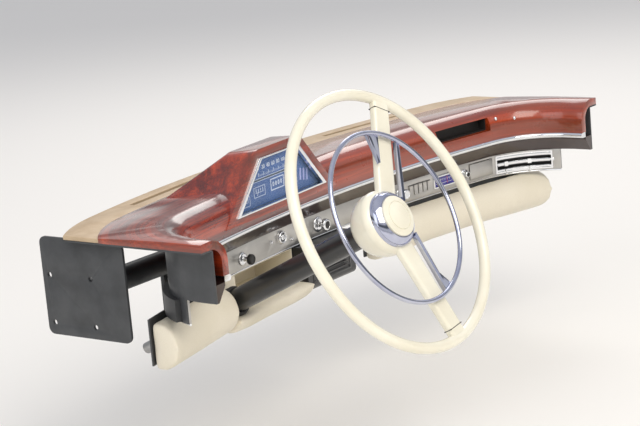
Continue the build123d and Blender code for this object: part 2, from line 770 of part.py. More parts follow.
# Defroster strip along the windscreen's foot
with BuildPart() as defroster_strip:
    section((cap_back, wood_inside), (defroster_back, wood_inside),
            (defroster_back, wood_inside + defroster_thick), (cap_back, wood_inside + defroster_thick))
    trimmed()
    for x in (-defroster_slot_x, defroster_slot_x):
        front_box(x - defroster_slot_long / 2, x + defroster_slot_long / 2, 0, 2 * cap_back_height,
                  (cap_back + defroster_back - defroster_slot_wide) / 2,
                  (cap_back + defroster_back + defroster_slot_wide) / 2, Mode.SUBTRACT)
finish(defroster_strip, "defroster_strip")

# Cross beam between the end plates
with BuildPart() as cross_beam:
    with BuildSketch(Plane.YZ.offset(-plate_x)):
        with Locations((beam_y, 0)):
            Circle(beam_radius)
            Circle(beam_radius - beam_wall, mode=Mode.SUBTRACT)
    extrude(amount=2 * plate_x)
finish(cross_beam, "cross_beam")

for name, x in (("end_plate_left", -plate_x - plate_thick), ("end_plate_right", plate_x)):
    with BuildPart() as end_plate:
        with BuildSketch(Plane.YZ.offset(x)) as plate:
            with BuildLine():
                Polyline((plate_back_y, plate_low), (plate_front_y, plate_low),
                         (plate_front_y, plate_top), (plate_back_y, plate_top), close=True)
            make_face()
            fillet(plate.vertices(), plate_corner)
            with Locations((pillar_hole_y, pillar_hole_z)):
                with GridLocations(pillar_spacing_y, pillar_spacing_z, 2, 2):
                    Circle(pillar_hole_radius, mode=Mode.SUBTRACT)
        extrude(amount=plate_thick)
    finish(end_plate, name)

# Bulkhead bracket: bolted foot and two webs welded to the beam
with BuildPart() as bulkhead_bracket:
    with BuildSketch(Plane.XZ):
        RectangleRounded(2 * foot_half_width, 2 * foot_half_height, foot_corner)
        with GridLocations(foot_spacing_x, foot_spacing_z, 2, 2):
            Circle(foot_hole_radius, mode=Mode.SUBTRACT)
    extrude(amount=foot_thick)
    for x in (-foot_web_x, foot_web_x):
        with Locations((x, beam_y, 0)):
            Box(foot_web, -beam_y - foot_thick, 2 * foot_web_half_height,
                align=(Align.CENTER, Align.MIN, Align.CENTER))
    with Locations(Plane(origin=(0, beam_y, 0), z_dir=(1, 0, 0))):
        Cylinder(beam_radius, 4 * foot_half_width, mode=Mode.SUBTRACT)
finish(bulkhead_bracket, "bulkhead_bracket")

# Column: jacket, collar at the panel, clamp bracket on the beam and the shaft's bearings
with BuildPart() as column_jacket:
    column_disc(jacket_radius, jacket_start, jacket_end)
    column_disc(jacket_radius - jacket_wall, 0, shaft_end, Mode.SUBTRACT)
finish(column_jacket, "column_jacket")

with BuildPart() as column_collar:
    column_disc(collar_radius, collar_start, collar_end)
    column_disc(jacket_radius, 0, shaft_end, Mode.SUBTRACT)
finish(column_collar, "column_collar")

with BuildPart() as column_bracket:
    column_disc(jacket_radius + clamp_wall, clamp_from_wheel - clamp_width / 2,
                clamp_from_wheel + clamp_width / 2)
    with Locations((wheel_x, beam_y, 0)):
        Box(strut_width, strut_thick, clamp_drop, align=(Align.CENTER, Align.CENTER, Align.MAX))
    column_disc(jacket_radius, 0, shaft_end, Mode.SUBTRACT)
    with Locations(Plane(origin=(wheel_x, beam_y, 0), z_dir=(1, 0, 0))):
        Cylinder(beam_radius, 2 * strut_width, mode=Mode.SUBTRACT)
finish(column_bracket, "column_bracket")

for name, start in (("upper_bearing", jacket_start + bearing_inset),
                    ("lower_bearing", jacket_end - bearing_inset - bearing_length)):
    with BuildPart() as bearing:
        column_disc(jacket_radius - jacket_wall, start, start + bearing_length)
        column_disc(shaft_radius + bearing_clearance, 0, shaft_end, Mode.SUBTRACT)
    finish(bearing, name)

with BuildPart() as steering_shaft:
    column_disc(shaft_radius, bell_face, coupling_start - groove_length)
    column_disc(groove_radius, coupling_start - groove_length, coupling_start)
    column_disc(shaft_radius, coupling_start, shaft_end)
finish(steering_shaft, "steering_shaft")

# Wheel: rim with the stubs that the spokes meet
with BuildPart() as wheel_rim:
    with Locations(wheel_plane):
        Torus(rim_radius, rim_tube)
    for angle in spoke_angles:
        with BuildSketch(spoke_plane(angle, seam_radius, 0)):
            RectangleRounded(spoke_tip_width, spoke_thick, spoke_corner)
        extrude(amount=rim_radius - rim_tube / 2 - seam_radius)
finish(wheel_rim, "wheel_rim")

# Two spokes and the bell-shaped hub
with BuildPart() as wheel_spokes:
    with BuildSketch(half_plane):
        with BuildLine():
            Polyline((bell_neck, -bell_depth), (shaft_radius, -bell_depth), (shaft_radius, -bell_face),
                     (hub_ring_outer, -bell_face))
            SagittaArc((hub_ring_outer, -bell_face), (bell_radius, -bell_widest), bell_edge_bulge)
            SagittaArc((bell_radius, -bell_widest), (bell_neck, -bell_depth), bell_side_bulge)
        make_face()
    revolve(axis=column_axis)
    for angle in spoke_angles:
        with BuildSketch(spoke_plane(angle, spoke_root, spoke_root_sink)):
            RectangleRounded(spoke_root_width, spoke_thick, spoke_corner)
        with BuildSketch(spoke_plane(angle, seam_radius, 0)):
            RectangleRounded(spoke_tip_width, spoke_thick, spoke_corner)
        loft()
    column_disc(hub_ring_outer, -hub_ring_outer, bell_face, Mode.SUBTRACT)
finish(wheel_spokes, "wheel_spokes")

# Chrome hub ring and the pad in it
with BuildPart() as hub_ring:
    with BuildSketch(half_plane):
        with BuildLine():
            Polyline((hub_ring_outer, hub_ring_step), (hub_ring_outer, -bell_face),
                     (hub_ring_inner, -bell_face), (hub_ring_inner, hub_ring_high), (pad_radius, hub_ring_high))
            SagittaArc((pad_radius, hub_ring_high), (hub_ring_outer, hub_ring_step), hub_ring_bulge)
        make_face()
    revolve(axis=column_axis)
finish(hub_ring, "hub_ring")

pad_edge_top = hub_ring_high + pad_edge
pad_top = pad_edge_top + pad_crown
crown_radius = (pad_radius ** 2 + pad_crown ** 2) / (2 * pad_crown)
with BuildPart() as hub_pad:
    with BuildSketch(half_plane):
        with BuildLine():
            Polyline((0, pad_top), (0, -bell_face), (hub_ring_inner, -bell_face),
                     (hub_ring_inner, hub_ring_high), (pad_radius, hub_ring_high), (pad_radius, pad_edge_top))
            ThreePointArc((pad_radius, pad_edge_top),
                          (pad_radius / 2, pad_top - crown_radius + sqrt(crown_radius ** 2 - pad_radius ** 2 / 4)),
                          (0, pad_top))
        make_face()
    revolve(axis=column_axis)
finish(hub_pad, "hub_pad")

# Horn ring with the arms that carry it
with BuildPart() as horn_ring:
    with Locations(wheel_plane.offset(horn_forward)):
        Torus(horn_radius, horn_tube)
    for arm in horn_arms:
        near = arm["side"] * arm_inside
        wide = arm["side"] * (arm_inside + arm["width"])
        tip = arm["side"] * (arm_inside + arm["tip"])
        with BuildSketch(arm_plane(arm["spoke"])):
            with BuildLine():
                Polyline((arm["start"], near), (arm["start"], wide), (arm["flare_from"], wide),
                         (sqrt(horn_radius ** 2 - tip ** 2), tip), (sqrt(horn_radius ** 2 - near ** 2), near),
                         close=True)
            make_face()
        extrude(amount=arm_high - arm_low)
    column_disc(hub_ring_outer, -hub_ring_outer, bell_face, Mode.SUBTRACT)
finish(horn_ring, "horn_ring")
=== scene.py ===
import bpy
from math import asin, atan2, cos, pi, radians, sin, sqrt
from mathutils import Matrix, Vector


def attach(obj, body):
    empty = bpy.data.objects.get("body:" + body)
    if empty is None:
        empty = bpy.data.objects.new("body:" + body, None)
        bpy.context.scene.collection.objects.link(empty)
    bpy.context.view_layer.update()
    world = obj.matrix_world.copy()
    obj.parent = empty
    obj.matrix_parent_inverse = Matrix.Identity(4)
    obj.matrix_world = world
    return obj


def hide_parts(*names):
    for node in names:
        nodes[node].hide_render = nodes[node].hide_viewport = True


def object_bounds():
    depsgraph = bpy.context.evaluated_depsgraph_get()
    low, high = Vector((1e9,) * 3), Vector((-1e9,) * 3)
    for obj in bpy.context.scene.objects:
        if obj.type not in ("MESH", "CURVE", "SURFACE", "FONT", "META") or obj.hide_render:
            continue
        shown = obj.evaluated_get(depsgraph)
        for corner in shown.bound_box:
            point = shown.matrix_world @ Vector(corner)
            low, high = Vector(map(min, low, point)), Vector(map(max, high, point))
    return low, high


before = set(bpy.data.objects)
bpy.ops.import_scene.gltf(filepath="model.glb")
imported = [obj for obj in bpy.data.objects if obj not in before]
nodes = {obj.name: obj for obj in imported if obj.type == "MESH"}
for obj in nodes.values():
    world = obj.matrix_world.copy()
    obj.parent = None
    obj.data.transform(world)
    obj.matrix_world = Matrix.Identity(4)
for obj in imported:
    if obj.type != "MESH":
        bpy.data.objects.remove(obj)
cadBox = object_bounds()
print("frame loaded:", len(nodes), "nodes")

# The dash's lines in metres, from the same values as the solids
dash = {
    "bowRadius": 2.208,
    "frontY": -0.200,
    "cornerX": 0.428,
    "cornerRadius": 0.121,
    "mouldingHeight": 0.055,
    "stripFace": 0.029,
    "stripMiddle": -0.054,
    "seat": -0.0037,  # a control's foot, back through the strip
}
dash["cornerY"] = (dash["frontY"] - dash["bowRadius"]
                   + sqrt((dash["bowRadius"] - dash["cornerRadius"]) ** 2 - dash["cornerX"] ** 2))
wheel = {"centre": Vector((-0.335, -0.549, 0.106)), "tilt": radians(26.2)}
toDriver = Vector((0, -cos(wheel["tilt"]), sin(wheel["tilt"])))
wheelUp = Vector((0, sin(wheel["tilt"]), cos(wheel["tilt"])))
# for a piece whose mesh already lies where it belongs
inPlace = Matrix.Identity(4)


def pickNothing():
    bpy.ops.object.select_all(action="DESELECT")


def newGroup(name, given, outputs):
    # number sockets: the given ones with their values, the outputs by name
    group = bpy.data.node_groups.new(name, "ShaderNodeTree")
    for label, value in given.items():
        socket = group.interface.new_socket(label, in_out="INPUT", socket_type="NodeSocketFloat")
        socket.default_value = value
    for label in outputs:
        group.interface.new_socket(label, in_out="OUTPUT", socket_type="NodeSocketFloat")
    return group


class Wiring:
    # adds nodes to a tree and feeds them: a socket is linked, a value is set
    def __init__(self, tree):
        self.tree = tree

    def add(self, kind, settings=None, **inputs):
        node = self.tree.nodes.new(kind)
        for key, value in (settings or {}).items():
            setattr(node, key, value)
        self.feed(node, **inputs)
        return node

    def feed(self, node, **inputs):
        for key, value in inputs.items():
            socket = self.socket(node, key)
            if isinstance(value, bpy.types.NodeSocket):
                self.tree.links.new(value, socket)
            else:
                socket.default_value = value

    def socket(self, node, key):
        # in0 is the first input and baseColor the one called Base Color
        if key.startswith("in") and key[2:].isdigit():
            return node.inputs[int(key[2:])]
        wanted = "".join(" " + letter.lower() if letter.isupper() else letter for letter in key)
        return next(socket for socket in node.inputs if socket.enabled and socket.name.lower() == wanted)

    def group(self, group, **inputs):
        return self.add("ShaderNodeGroup", {"node_tree": group}, **inputs).outputs

    def objectPlace(self):
        return self.add("ShaderNodeTexCoord").outputs["Object"]

    def noise(self, vector, scale, detail, roughness=0.5):
        return self.add("ShaderNodeTexNoise", vector=vector, scale=scale, detail=detail,
                        roughness=roughness).outputs[0]

    def maths(self, operation, a, b=None):
        values = {"in0": a} if b is None else {"in0": a, "in1": b}
        return self.add("ShaderNodeMath", {"operation": operation}, **values).outputs[0]

    def times(self, a, b):
        return self.maths("MULTIPLY", a, b)

    def mix(self, factor, a, b):
        return self.add("ShaderNodeMix", {"data_type": "RGBA"}, in0=factor, in6=a, in7=b).outputs[2]

    def ramp(self, value, stops):
        node = self.add("ShaderNodeValToRGB", in0=value)
        elements = node.color_ramp.elements
        elements[0].position, elements[0].color = stops[0]
        elements[1].position, elements[1].color = stops[-1]
        for place, colour in stops[1:-1]:
            elements.new(place).color = colour
        return node.outputs[0]

    def span(self, value, low, high, outLow=0.0, outHigh=1.0):
        return self.add("ShaderNodeMapRange", {"clamp": True}, in0=value, in1=low, in2=high,
                        in3=outLow, in4=outHigh).outputs[0]

    def bump(self, height, strength, distance):
        return self.add("ShaderNodeBump", strength=strength, distance=distance, height=height).outputs[0]


def buildDashDepth():
    # depth forward of the moulding's line and the height, so that grain follows the bow and the corners
    group = newGroup("dashDepth", {}, ["Depth", "Height"])
    w = Wiring(group)
    parts = w.add("ShaderNodeSeparateXYZ", in0=w.objectPlace()).outputs
    across = w.maths("ABSOLUTE", parts[0])
    outside = w.maths("MAXIMUM", w.maths("SUBTRACT", across, dash["cornerX"]), 0.0)
    inBow = w.maths("MINIMUM", across, dash["cornerX"])
    sag = w.times(w.times(inBow, inBow), 0.5 / (dash["bowRadius"] - dash["cornerRadius"]))
    forward = w.maths("ADD", w.maths("ADD", parts[1], sag), dash["cornerRadius"] - dash["frontY"])
    forward = w.maths("MAXIMUM", forward, 0.0)
    length = w.maths("SQRT", w.maths("ADD", w.times(outside, outside), w.times(forward, forward)))
    depth = w.maths("SUBTRACT", length, dash["cornerRadius"])
    w.add("NodeGroupOutput", in0=depth, in1=w.maths("SUBTRACT", parts[2], dash["mouldingHeight"]))
    return group


# how close the streaks lie, in waves for each metre
woodStreaks = {"broad": 26.0, "fine": 420.0, "fineAlong": 9.0}


def buildWoodGrain(depthGroup):
    group = newGroup("woodGrain", {"Fineness": 1.0}, ["Tone", "Pores", "Warmth"])
    w = Wiring(group)
    given = w.add("NodeGroupInput").outputs
    depth = w.group(depthGroup)
    whole = w.objectPlace()
    place = w.add("ShaderNodeSeparateXYZ", in0=whole).outputs
    # broad streaks run the length of the dash
    slow = w.add("ShaderNodeCombineXYZ", in0=place[0], in1=place[1],
                 in2=w.times(depth["Depth"], woodStreaks["broad"])).outputs[0]
    rise = w.times(depth["Height"], woodStreaks["broad"])
    broad = w.add("ShaderNodeTexNoise", {"noise_dimensions": "4D"}, vector=slow, w=rise, scale=1.5,
                  detail=4.0, roughness=0.6, distortion=0.5).outputs[0]
    fast = w.add("ShaderNodeCombineXYZ", in0=w.times(place[0], woodStreaks["fineAlong"]),
                 in1=w.times(place[1], woodStreaks["fineAlong"]),
                 in2=w.times(depth["Depth"], woodStreaks["fine"])).outputs[0]
    fastRise = w.times(depth["Height"], woodStreaks["fine"])
    fine = w.add("ShaderNodeTexNoise", {"noise_dimensions": "4D"}, vector=fast,
                 w=w.times(fastRise, given["Fineness"]), scale=1.0, detail=3.0, roughness=0.55).outputs[0]
    tone = w.maths("ADD", w.times(broad, 0.65), w.times(fine, 0.35))
    pores = w.span(fine, 0.60, 0.72)
    patch = w.noise(whole, 3.0, 1.0)
    w.add("NodeGroupOutput", in0=w.span(tone, 0.36, 0.64), in1=pores, in2=w.span(patch, 0.35, 0.65))
    return group


def buildBreakup():
    # soft variation for colour and roughness with faint dust specks
    group = newGroup("surfaceBreakup", {"Scale": 20.0}, ["Soft", "Fine", "Specks"])
    w = Wiring(group)
    given = w.add("NodeGroupInput").outputs
    place = w.objectPlace()
    soft = w.noise(place, given["Scale"], 3.0, 0.55)
    fine = w.noise(place, w.times(given["Scale"], 14.0), 2.0)
    specks = w.add("ShaderNodeTexVoronoi", vector=place, scale=w.times(given["Scale"], 9.0))
    w.add("NodeGroupOutput", in0=soft, in1=fine, in2=w.span(specks.outputs["Distance"], 0.10, 0.04))
    return group


def buildLeatherGrain():
    # small cells with creases between them, and broad patches
    group = newGroup("leatherGrain", {"Scale": 420.0}, ["Height", "Crease", "Patch"])
    w = Wiring(group)
    given = w.add("NodeGroupInput").outputs
    place = w.objectPlace()
    bend = w.add("ShaderNodeTexNoise", vector=place, scale=90.0, detail=2.0).outputs[1]
    warped = w.add("ShaderNodeVectorMath", {"operation": "MULTIPLY_ADD"}, in0=bend,
                   in1=(0.006, 0.006, 0.006), in2=place).outputs[0]
    cells = w.add("ShaderNodeTexVoronoi", {"feature": "DISTANCE_TO_EDGE"}, vector=warped,
                  scale=given["Scale"]).outputs["Distance"]
    crease = w.span(cells, 0.0, 0.12)
    patch = w.noise(place, 9.0, 3.0)
    w.add("NodeGroupOutput", in0=crease, in1=w.maths("SUBTRACT", 1.0, crease), in2=patch)
    return group


def buildBrushing():
    # long fine scratches that run along the dash
    group = newGroup("brushing", {"Scale": 900.0}, ["Streak", "Patch"])
    w = Wiring(group)
    given = w.add("NodeGroupInput").outputs
    place = w.objectPlace()
    parts = w.add("ShaderNodeSeparateXYZ", in0=place).outputs
    stretched = w.add("ShaderNodeCombineXYZ", in0=w.times(parts[0], 0.02),
                      in1=w.times(parts[1], 0.02), in2=parts[2]).outputs[0]
    streak = w.noise(stretched, given["Scale"], 3.0)
    w.add("NodeGroupOutput", in0=streak, in1=w.noise(place, 14.0, 3.0))
    return group


depthGroup = buildDashDepth()
woodGroup = buildWoodGrain(depthGroup)
breakupGroup = buildBreakup()
leatherGroup = buildLeatherGrain()
brushGroup = buildBrushing()
print("shader groups built")


def newMaterial(name):
    material = bpy.data.materials.new(name)
    material.use_nodes = True
    tree = material.node_tree
    return material, Wiring(tree), tree.nodes["Principled BSDF"]


def varnishedWood(name, look):
    material, w, shader = newMaterial(name)
    grain = w.group(woodGroup, fineness=look["fineness"])
    soft = w.group(breakupGroup, scale=25.0)["Soft"]
    base = w.ramp(grain["Tone"], [(0.0, look["dark"]), (0.5, look["middle"]), (1.0, look["light"])])
    base = w.mix(w.times(grain["Warmth"], look["warmthShare"]), base, look["warm"])
    w.feed(shader, baseColor=w.mix(w.times(grain["Pores"], look["poreShare"]), base, look["pore"]),
           roughness=w.span(soft, 0.3, 0.7, look["roughness"], look["roughness"] + 0.12),
           coatWeight=1.0, coatRoughness=0.09, normal=w.bump(grain["Pores"], 0.15, -0.0002))
    return material


def polishedMetal(name, look):
    material, w, shader = newMaterial(name)
    breakup = w.group(breakupGroup, scale=look["scale"])
    w.feed(shader, baseColor=w.mix(w.span(breakup["Soft"], 0.35, 0.7), look["colour"], look["dull"]),
           roughness=w.span(breakup["Soft"], 0.35, 0.75, look["roughness"],
                            look["roughness"] + look["spread"]),
           metallic=1.0, normal=w.bump(breakup["Fine"], look["bump"], 0.0002))
    return material


def satinMetal(name, look):
    material, w, shader = newMaterial(name)
    streaks = w.group(brushGroup, scale=look["scale"])
    w.feed(shader, baseColor=w.mix(w.span(streaks["Patch"], 0.3, 0.7), look["colour"], look["dull"]),
           roughness=w.span(streaks["Streak"], 0.3, 0.7, look["roughness"], look["roughness"] + 0.15),
           metallic=1.0, normal=w.bump(streaks["Streak"], look["bump"], 0.0001))
    return material


def softLeather(name, look):
    material, w, shader = newMaterial(name)
    grain = w.group(leatherGroup, scale=look["scale"])
    patch = w.span(grain["Patch"], 0.3, 0.7)
    base = w.mix(patch, look["colour"], look["shade"])
    # the crease colour darkens the grain's creases: painted shade
    crease = w.times(grain["Crease"], look["creaseShadeShare"])
    w.feed(shader, baseColor=w.mix(crease, base, look["crease"]),
           roughness=w.span(patch, 0.0, 1.0, look["roughness"] - 0.06, look["roughness"] + 0.08),
           specularIorLevel=0.4, normal=w.bump(grain["Height"], look["bump"], 0.0004))
    return material


# what a moulded or painted surface has where its own look says nothing else
plainLook = {"dust": 0.05, "roughness": 0.4, "spread": 0.1, "coat": 0.0, "bump": 0.01, "scale": 40.0}


def mouldedPlastic(name, ownLook):
    look = {**plainLook, **ownLook}
    material, w, shader = newMaterial(name)
    breakup = w.group(breakupGroup, scale=look["scale"])
    base = w.mix(w.span(breakup["Soft"], 0.35, 0.7), look["colour"], look["shade"])
    w.feed(shader, baseColor=w.mix(w.times(breakup["Specks"], look["dust"]), base, look["speck"]),
           roughness=w.span(breakup["Soft"], 0.3, 0.7, look["roughness"],
                            look["roughness"] + look["spread"]),
           coatWeight=look["coat"], coatRoughness=0.06,
           normal=w.bump(breakup["Fine"], look["bump"], 0.0003))
    return material


def clearGlass(name, look):
    material, w, shader = newMaterial(name)
    soft = w.group(breakupGroup, scale=12.0)["Soft"]
    w.feed(shader, baseColor=look["tint"], alpha=look["alpha"], ior=1.5,
           roughness=w.span(soft, 0.3, 0.8, 0.02, 0.07))
    return material


def platedFront(name, look):
    # plated as far back as the given depth, dull paint behind it
    material, w, shader = newMaterial(name)
    breakup = w.group(breakupGroup, scale=look["scale"])
    behind = w.maths("GREATER_THAN", w.group(depthGroup)["Depth"], look["depth"])
    plated = w.mix(w.span(breakup["Soft"], 0.35, 0.7), look["colour"], look["dull"])
    shine = w.span(breakup["Soft"], 0.35, 0.75, look["roughness"], look["roughness"] + 0.06)
    w.feed(shader, baseColor=w.mix(behind, plated, look["paint"]),
           metallic=w.maths("SUBTRACT", 1.0, behind), roughness=w.maths("ADD", shine, w.times(behind, 0.4)),
           normal=w.bump(breakup["Fine"], 0.03, 0.0002))
    return material


woodFace = varnishedWood("varnishedFascia", {
    "dark": (0.030, 0.003, 0.002, 1), "middle": (0.16, 0.012, 0.004, 1), "light": (0.48, 0.050, 0.008, 1),
    "warm": (0.55, 0.085, 0.012, 1), "warmthShare": 0.30, "pore": (0.03, 0.004, 0.002, 1),
    "poreShare": 0.6, "fineness": 1.0, "roughness": 0.24,
})
# the rail's wood is coloured near-black as painted shade, for the shadow under the chrome moulding
railWoodPaintedShade = varnishedWood("darkRail", {
    "dark": (0.006, 0.002, 0.001, 1), "middle": (0.018, 0.004, 0.002, 1), "light": (0.036, 0.008, 0.004, 1),
    "warm": (0.045, 0.010, 0.004, 1), "warmthShare": 0.2, "pore": (0.008, 0.002, 0.001, 1),
    "poreShare": 0.5, "fineness": 1.2, "roughness": 0.3,
})
chrome = polishedMetal("brightChrome", {
    "colour": (0.86, 0.87, 0.89, 1), "dull": (0.78, 0.79, 0.81, 1), "roughness": 0.05, "spread": 0.08,
    "scale": 30.0, "bump": 0.02,
})
# the wheel's chrome is tinted blue-violet: a painted reflection of a deep blue sky
wheelChrome = polishedMetal("wheelChrome", {
    "colour": (0.56, 0.58, 0.69, 1), "dull": (0.44, 0.46, 0.60, 1), "roughness": 0.04, "spread": 0.07,
    "scale": 30.0, "bump": 0.02,
})
ventPlate = platedFront("ventPlate", {
    "colour": (0.86, 0.87, 0.89, 1), "dull": (0.78, 0.79, 0.81, 1), "paint": (0.03, 0.031, 0.033, 1),
    "roughness": 0.06, "scale": 30.0, "depth": 0.0335,
})
satin = satinMetal("satinStrip", {
    "colour": (0.60, 0.585, 0.56, 1), "dull": (0.48, 0.465, 0.44, 1), "roughness": 0.34, "scale": 1500.0,
    "bump": 0.05,
})
# the crease colour is painted shade in the leather grain's creases
cream = softLeather("creamLeather", {
    "colour": (0.82, 0.755, 0.62, 1), "shade": (0.75, 0.685, 0.545, 1), "crease": (0.58, 0.50, 0.37, 1),
    "creaseShadeShare": 0.22, "roughness": 0.5, "bump": 0.25, "scale": 520.0,
})
ivory = mouldedPlastic("ivoryWheel", {
    "colour": (0.88, 0.84, 0.70, 1), "shade": (0.82, 0.77, 0.62, 1), "speck": (0.60, 0.54, 0.42, 1),
    "dust": 0.10, "roughness": 0.16, "spread": 0.10, "coat": 0.6, "bump": 0.03, "scale": 18.0,
})
greySteel = mouldedPlastic("greySteel", {
    "colour": (0.055, 0.058, 0.062, 1), "shade": (0.04, 0.042, 0.045, 1), "speck": (0.12, 0.11, 0.10, 1),
    "dust": 0.4, "roughness": 0.45, "spread": 0.2, "coat": 0.1, "bump": 0.12, "scale": 22.0,
})
blackEnamel = mouldedPlastic("blackEnamel", {
    "colour": (0.012, 0.012, 0.013, 1), "shade": (0.018, 0.018, 0.019, 1), "speck": (0.08, 0.075, 0.07, 1),
    "dust": 0.25, "roughness": 0.25, "spread": 0.15, "coat": 0.4, "bump": 0.05, "scale": 22.0,
})
blackTrim = mouldedPlastic("blackTrim", {
    "colour": (0.016, 0.015, 0.014, 1), "shade": (0.024, 0.022, 0.020, 1), "speck": (0.07, 0.065, 0.06, 1),
    "dust": 0.2, "roughness": 0.5, "spread": 0.15, "coat": 0.0, "bump": 0.15, "scale": 40.0,
})
beige = mouldedPlastic("beigeStrip", {
    "colour": (0.56, 0.42, 0.27, 1), "shade": (0.48, 0.35, 0.22, 1), "speck": (0.35, 0.25, 0.16, 1),
    "dust": 0.15, "roughness": 0.5, "spread": 0.15, "coat": 0.0, "bump": 0.12, "scale": 30.0,
})
bareSteel = satinMetal("bareSteel", {
    "colour": (0.45, 0.45, 0.45, 1), "dull": (0.34, 0.33, 0.32, 1), "roughness": 0.32, "scale": 700.0,
    "bump": 0.06,
})
glass = clearGlass("clearGlass", {"tint": (0.45, 0.65, 1.0, 1), "alpha": 0.10})
dialBlue = mouldedPlastic("dialBlue", {
    "colour": (0.012, 0.085, 0.33, 1), "shade": (0.010, 0.055, 0.22, 1), "speck": (0.05, 0.15, 0.4, 1),
    "coat": 0.1, "bump": 0.02, "scale": 12.0,
})
# the radio window's dark blue-violet is a painted reflection of the sky on its glass
dialViolet = mouldedPlastic("dialViolet", {
    "colour": (0.030, 0.024, 0.20, 1), "shade": (0.055, 0.045, 0.30, 1), "speck": (0.2, 0.2, 0.4, 1),
    "roughness": 0.2, "coat": 0.6, "bump": 0.02, "scale": 30.0,
})
dialWhite = mouldedPlastic("dialWhite", {
    "colour": (0.86, 0.88, 0.92, 1), "shade": (0.78, 0.80, 0.86, 1), "speck": (0.6, 0.6, 0.6, 1),
})
dialLilac = mouldedPlastic("dialLilac", {
    "colour": (0.50, 0.48, 0.80, 1), "shade": (0.42, 0.40, 0.72, 1), "speck": (0.4, 0.4, 0.6, 1),
})
pointerRed = mouldedPlastic("pointerRed", {
    "colour": (0.60, 0.04, 0.03, 1), "shade": (0.52, 0.03, 0.02, 1), "speck": (0.4, 0.1, 0.1, 1),
    "roughness": 0.3, "coat": 0.2,
})

finishes = [
    (woodFace, ["wood_fascia"]), (railWoodPaintedShade, ["wood_rail"]), (beige, ["defroster_strip"]),
    (chrome, ["chrome_moulding", "strip_bead", "cluster_bezel", "knob_far_left", "knob_left", "knob_middle",
              "radio_knob_left", "radio_knob_right", "ignition_lock", "button_left", "button_right",
              "radio_frame"]),
    (wheelChrome, ["hub_ring", "horn_ring"]), (ventPlate, ["vent_left", "vent_right"]),
    (satin, ["control_strip", "radio_keys", "ash_drawer"]),
    (cream, ["roll_left", "roll_right", "roll_lip", "column_trim", "tray_liner"]),
    (ivory, ["wheel_rim", "wheel_spokes", "hub_pad"]),
    (greySteel, ["steel_panel", "cross_beam", "end_plate_left", "end_plate_right", "bulkhead_bracket",
                 "column_bracket", "radio_box", "ash_sleeve", "cluster_housing"]),
    (blackEnamel, ["column_jacket", "heater_box"]), (blackTrim, ["column_collar", "slot_liner"]),
    (bareSteel, ["steering_shaft", "upper_bearing", "lower_bearing"]),
    (glass, ["cluster_glass"]), (dialBlue, ["radio_dial", "cluster_face"]),
]
for material, names in finishes:
    for name in names:
        mesh = nodes[name].data
        mesh.materials.clear()
        mesh.materials.append(material)
print("materials on", sum(len(names) for material, names in finishes), "nodes")


def dashPoint(across, depth=0.0, up=0.0):
    turn = asin(across / dash["bowRadius"])
    radius = dash["bowRadius"] + depth
    return Vector((radius * sin(turn), dash["frontY"] - dash["bowRadius"] + radius * cos(turn),
                   dash["mouldingHeight"] + up))


def facing(place, turn):
    # local X runs to the passenger's side, Y up and Z out to the cabin
    turned = Matrix(((cos(turn), 0, -sin(turn)), (-sin(turn), 0, -cos(turn)), (0, 1, 0))).to_4x4()
    turned.translation = place
    return turned


def onDash(across, depth=0.0, up=0.0):
    return facing(dashPoint(across, depth, up), asin(across / dash["bowRadius"]))


def onStrip(across, up=0.0):
    return onDash(across, dash["stripFace"], dash["stripMiddle"] + up)


def onCorner(side, angle, depth=0.0, up=0.0):
    # side is 1 on the passenger's side and -1 on the driver's, the angle counts from straight ahead
    radius = dash["cornerRadius"] + depth
    place = Vector((side * (dash["cornerX"] + radius * sin(angle)), dash["cornerY"] + radius * cos(angle),
                    dash["mouldingHeight"] + up))
    return facing(place, side * angle)


def onWheel():
    # local Z points to the driver and Y up the wheel
    turned = Matrix(((1, 0, 0), (0, wheelUp.y, toDriver.y), (0, wheelUp.z, toDriver.z))).to_4x4()
    turned.translation = wheel["centre"]
    return turned


def pick(*pieces):
    pickNothing()
    for piece in pieces:
        piece.select_set(True)
    bpy.context.view_layer.objects.active = pieces[-1]


def edit(piece):
    pick(piece)
    bpy.ops.object.mode_set(mode="EDIT")


def endEdit():
    bpy.ops.object.mode_set(mode="OBJECT")


def pickAll():
    bpy.ops.mesh.select_all(action="SELECT")


def newest(name):
    piece = bpy.context.object
    piece.name = name
    return piece


def drawOut(height):
    bpy.ops.mesh.extrude_region_move(TRANSFORM_OT_translate={"value": (0, 0, height)})


def editFaces(piece, wanted):
    # opens the piece with those faces picked whose middle and normal pass the test
    pick(piece)
    for part in (piece.data.vertices, piece.data.edges, piece.data.polygons):
        part.foreach_set("select", [False] * len(part))
    for face in piece.data.polygons:
        face.select = wanted(face.center, face.normal)
    bpy.ops.object.mode_set(mode="EDIT")
    bpy.ops.mesh.select_mode(type="FACE")


def finishEdges(piece, width):
    bevel = piece.modifiers.new("easedEdges", "BEVEL")
    bevel.width = width
    bevel.segments = 2
    bevel.limit_method = "ANGLE"
    bevel.angle_limit = radians(35)
    bevel.use_clamp_overlap = True
    pick(piece)
    bpy.ops.object.modifier_apply(modifier=bevel.name)


def bakePlace(piece, place):
    pick(piece)
    piece.matrix_world = place
    bpy.ops.object.transform_apply(location=True, rotation=True, scale=True)
    return piece


def shifted(piece, x, y, z=0.0):
    return bakePlace(piece, Matrix.Translation((x, y, z)))


def settle(piece, place, material, body="dashboard", replaced=(), smooth=35.0):
    # the piece's place goes into its mesh, and it rides on its body
    bakePlace(piece, place)
    bpy.ops.object.shade_smooth_by_angle(angle=radians(smooth))
    piece.data.materials.clear()
    piece.data.materials.append(material)
    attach(piece, body)
    if replaced:
        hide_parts(*replaced)


def joined(name, pieces):
    pick(*pieces)
    bpy.ops.object.join()
    return newest(name)


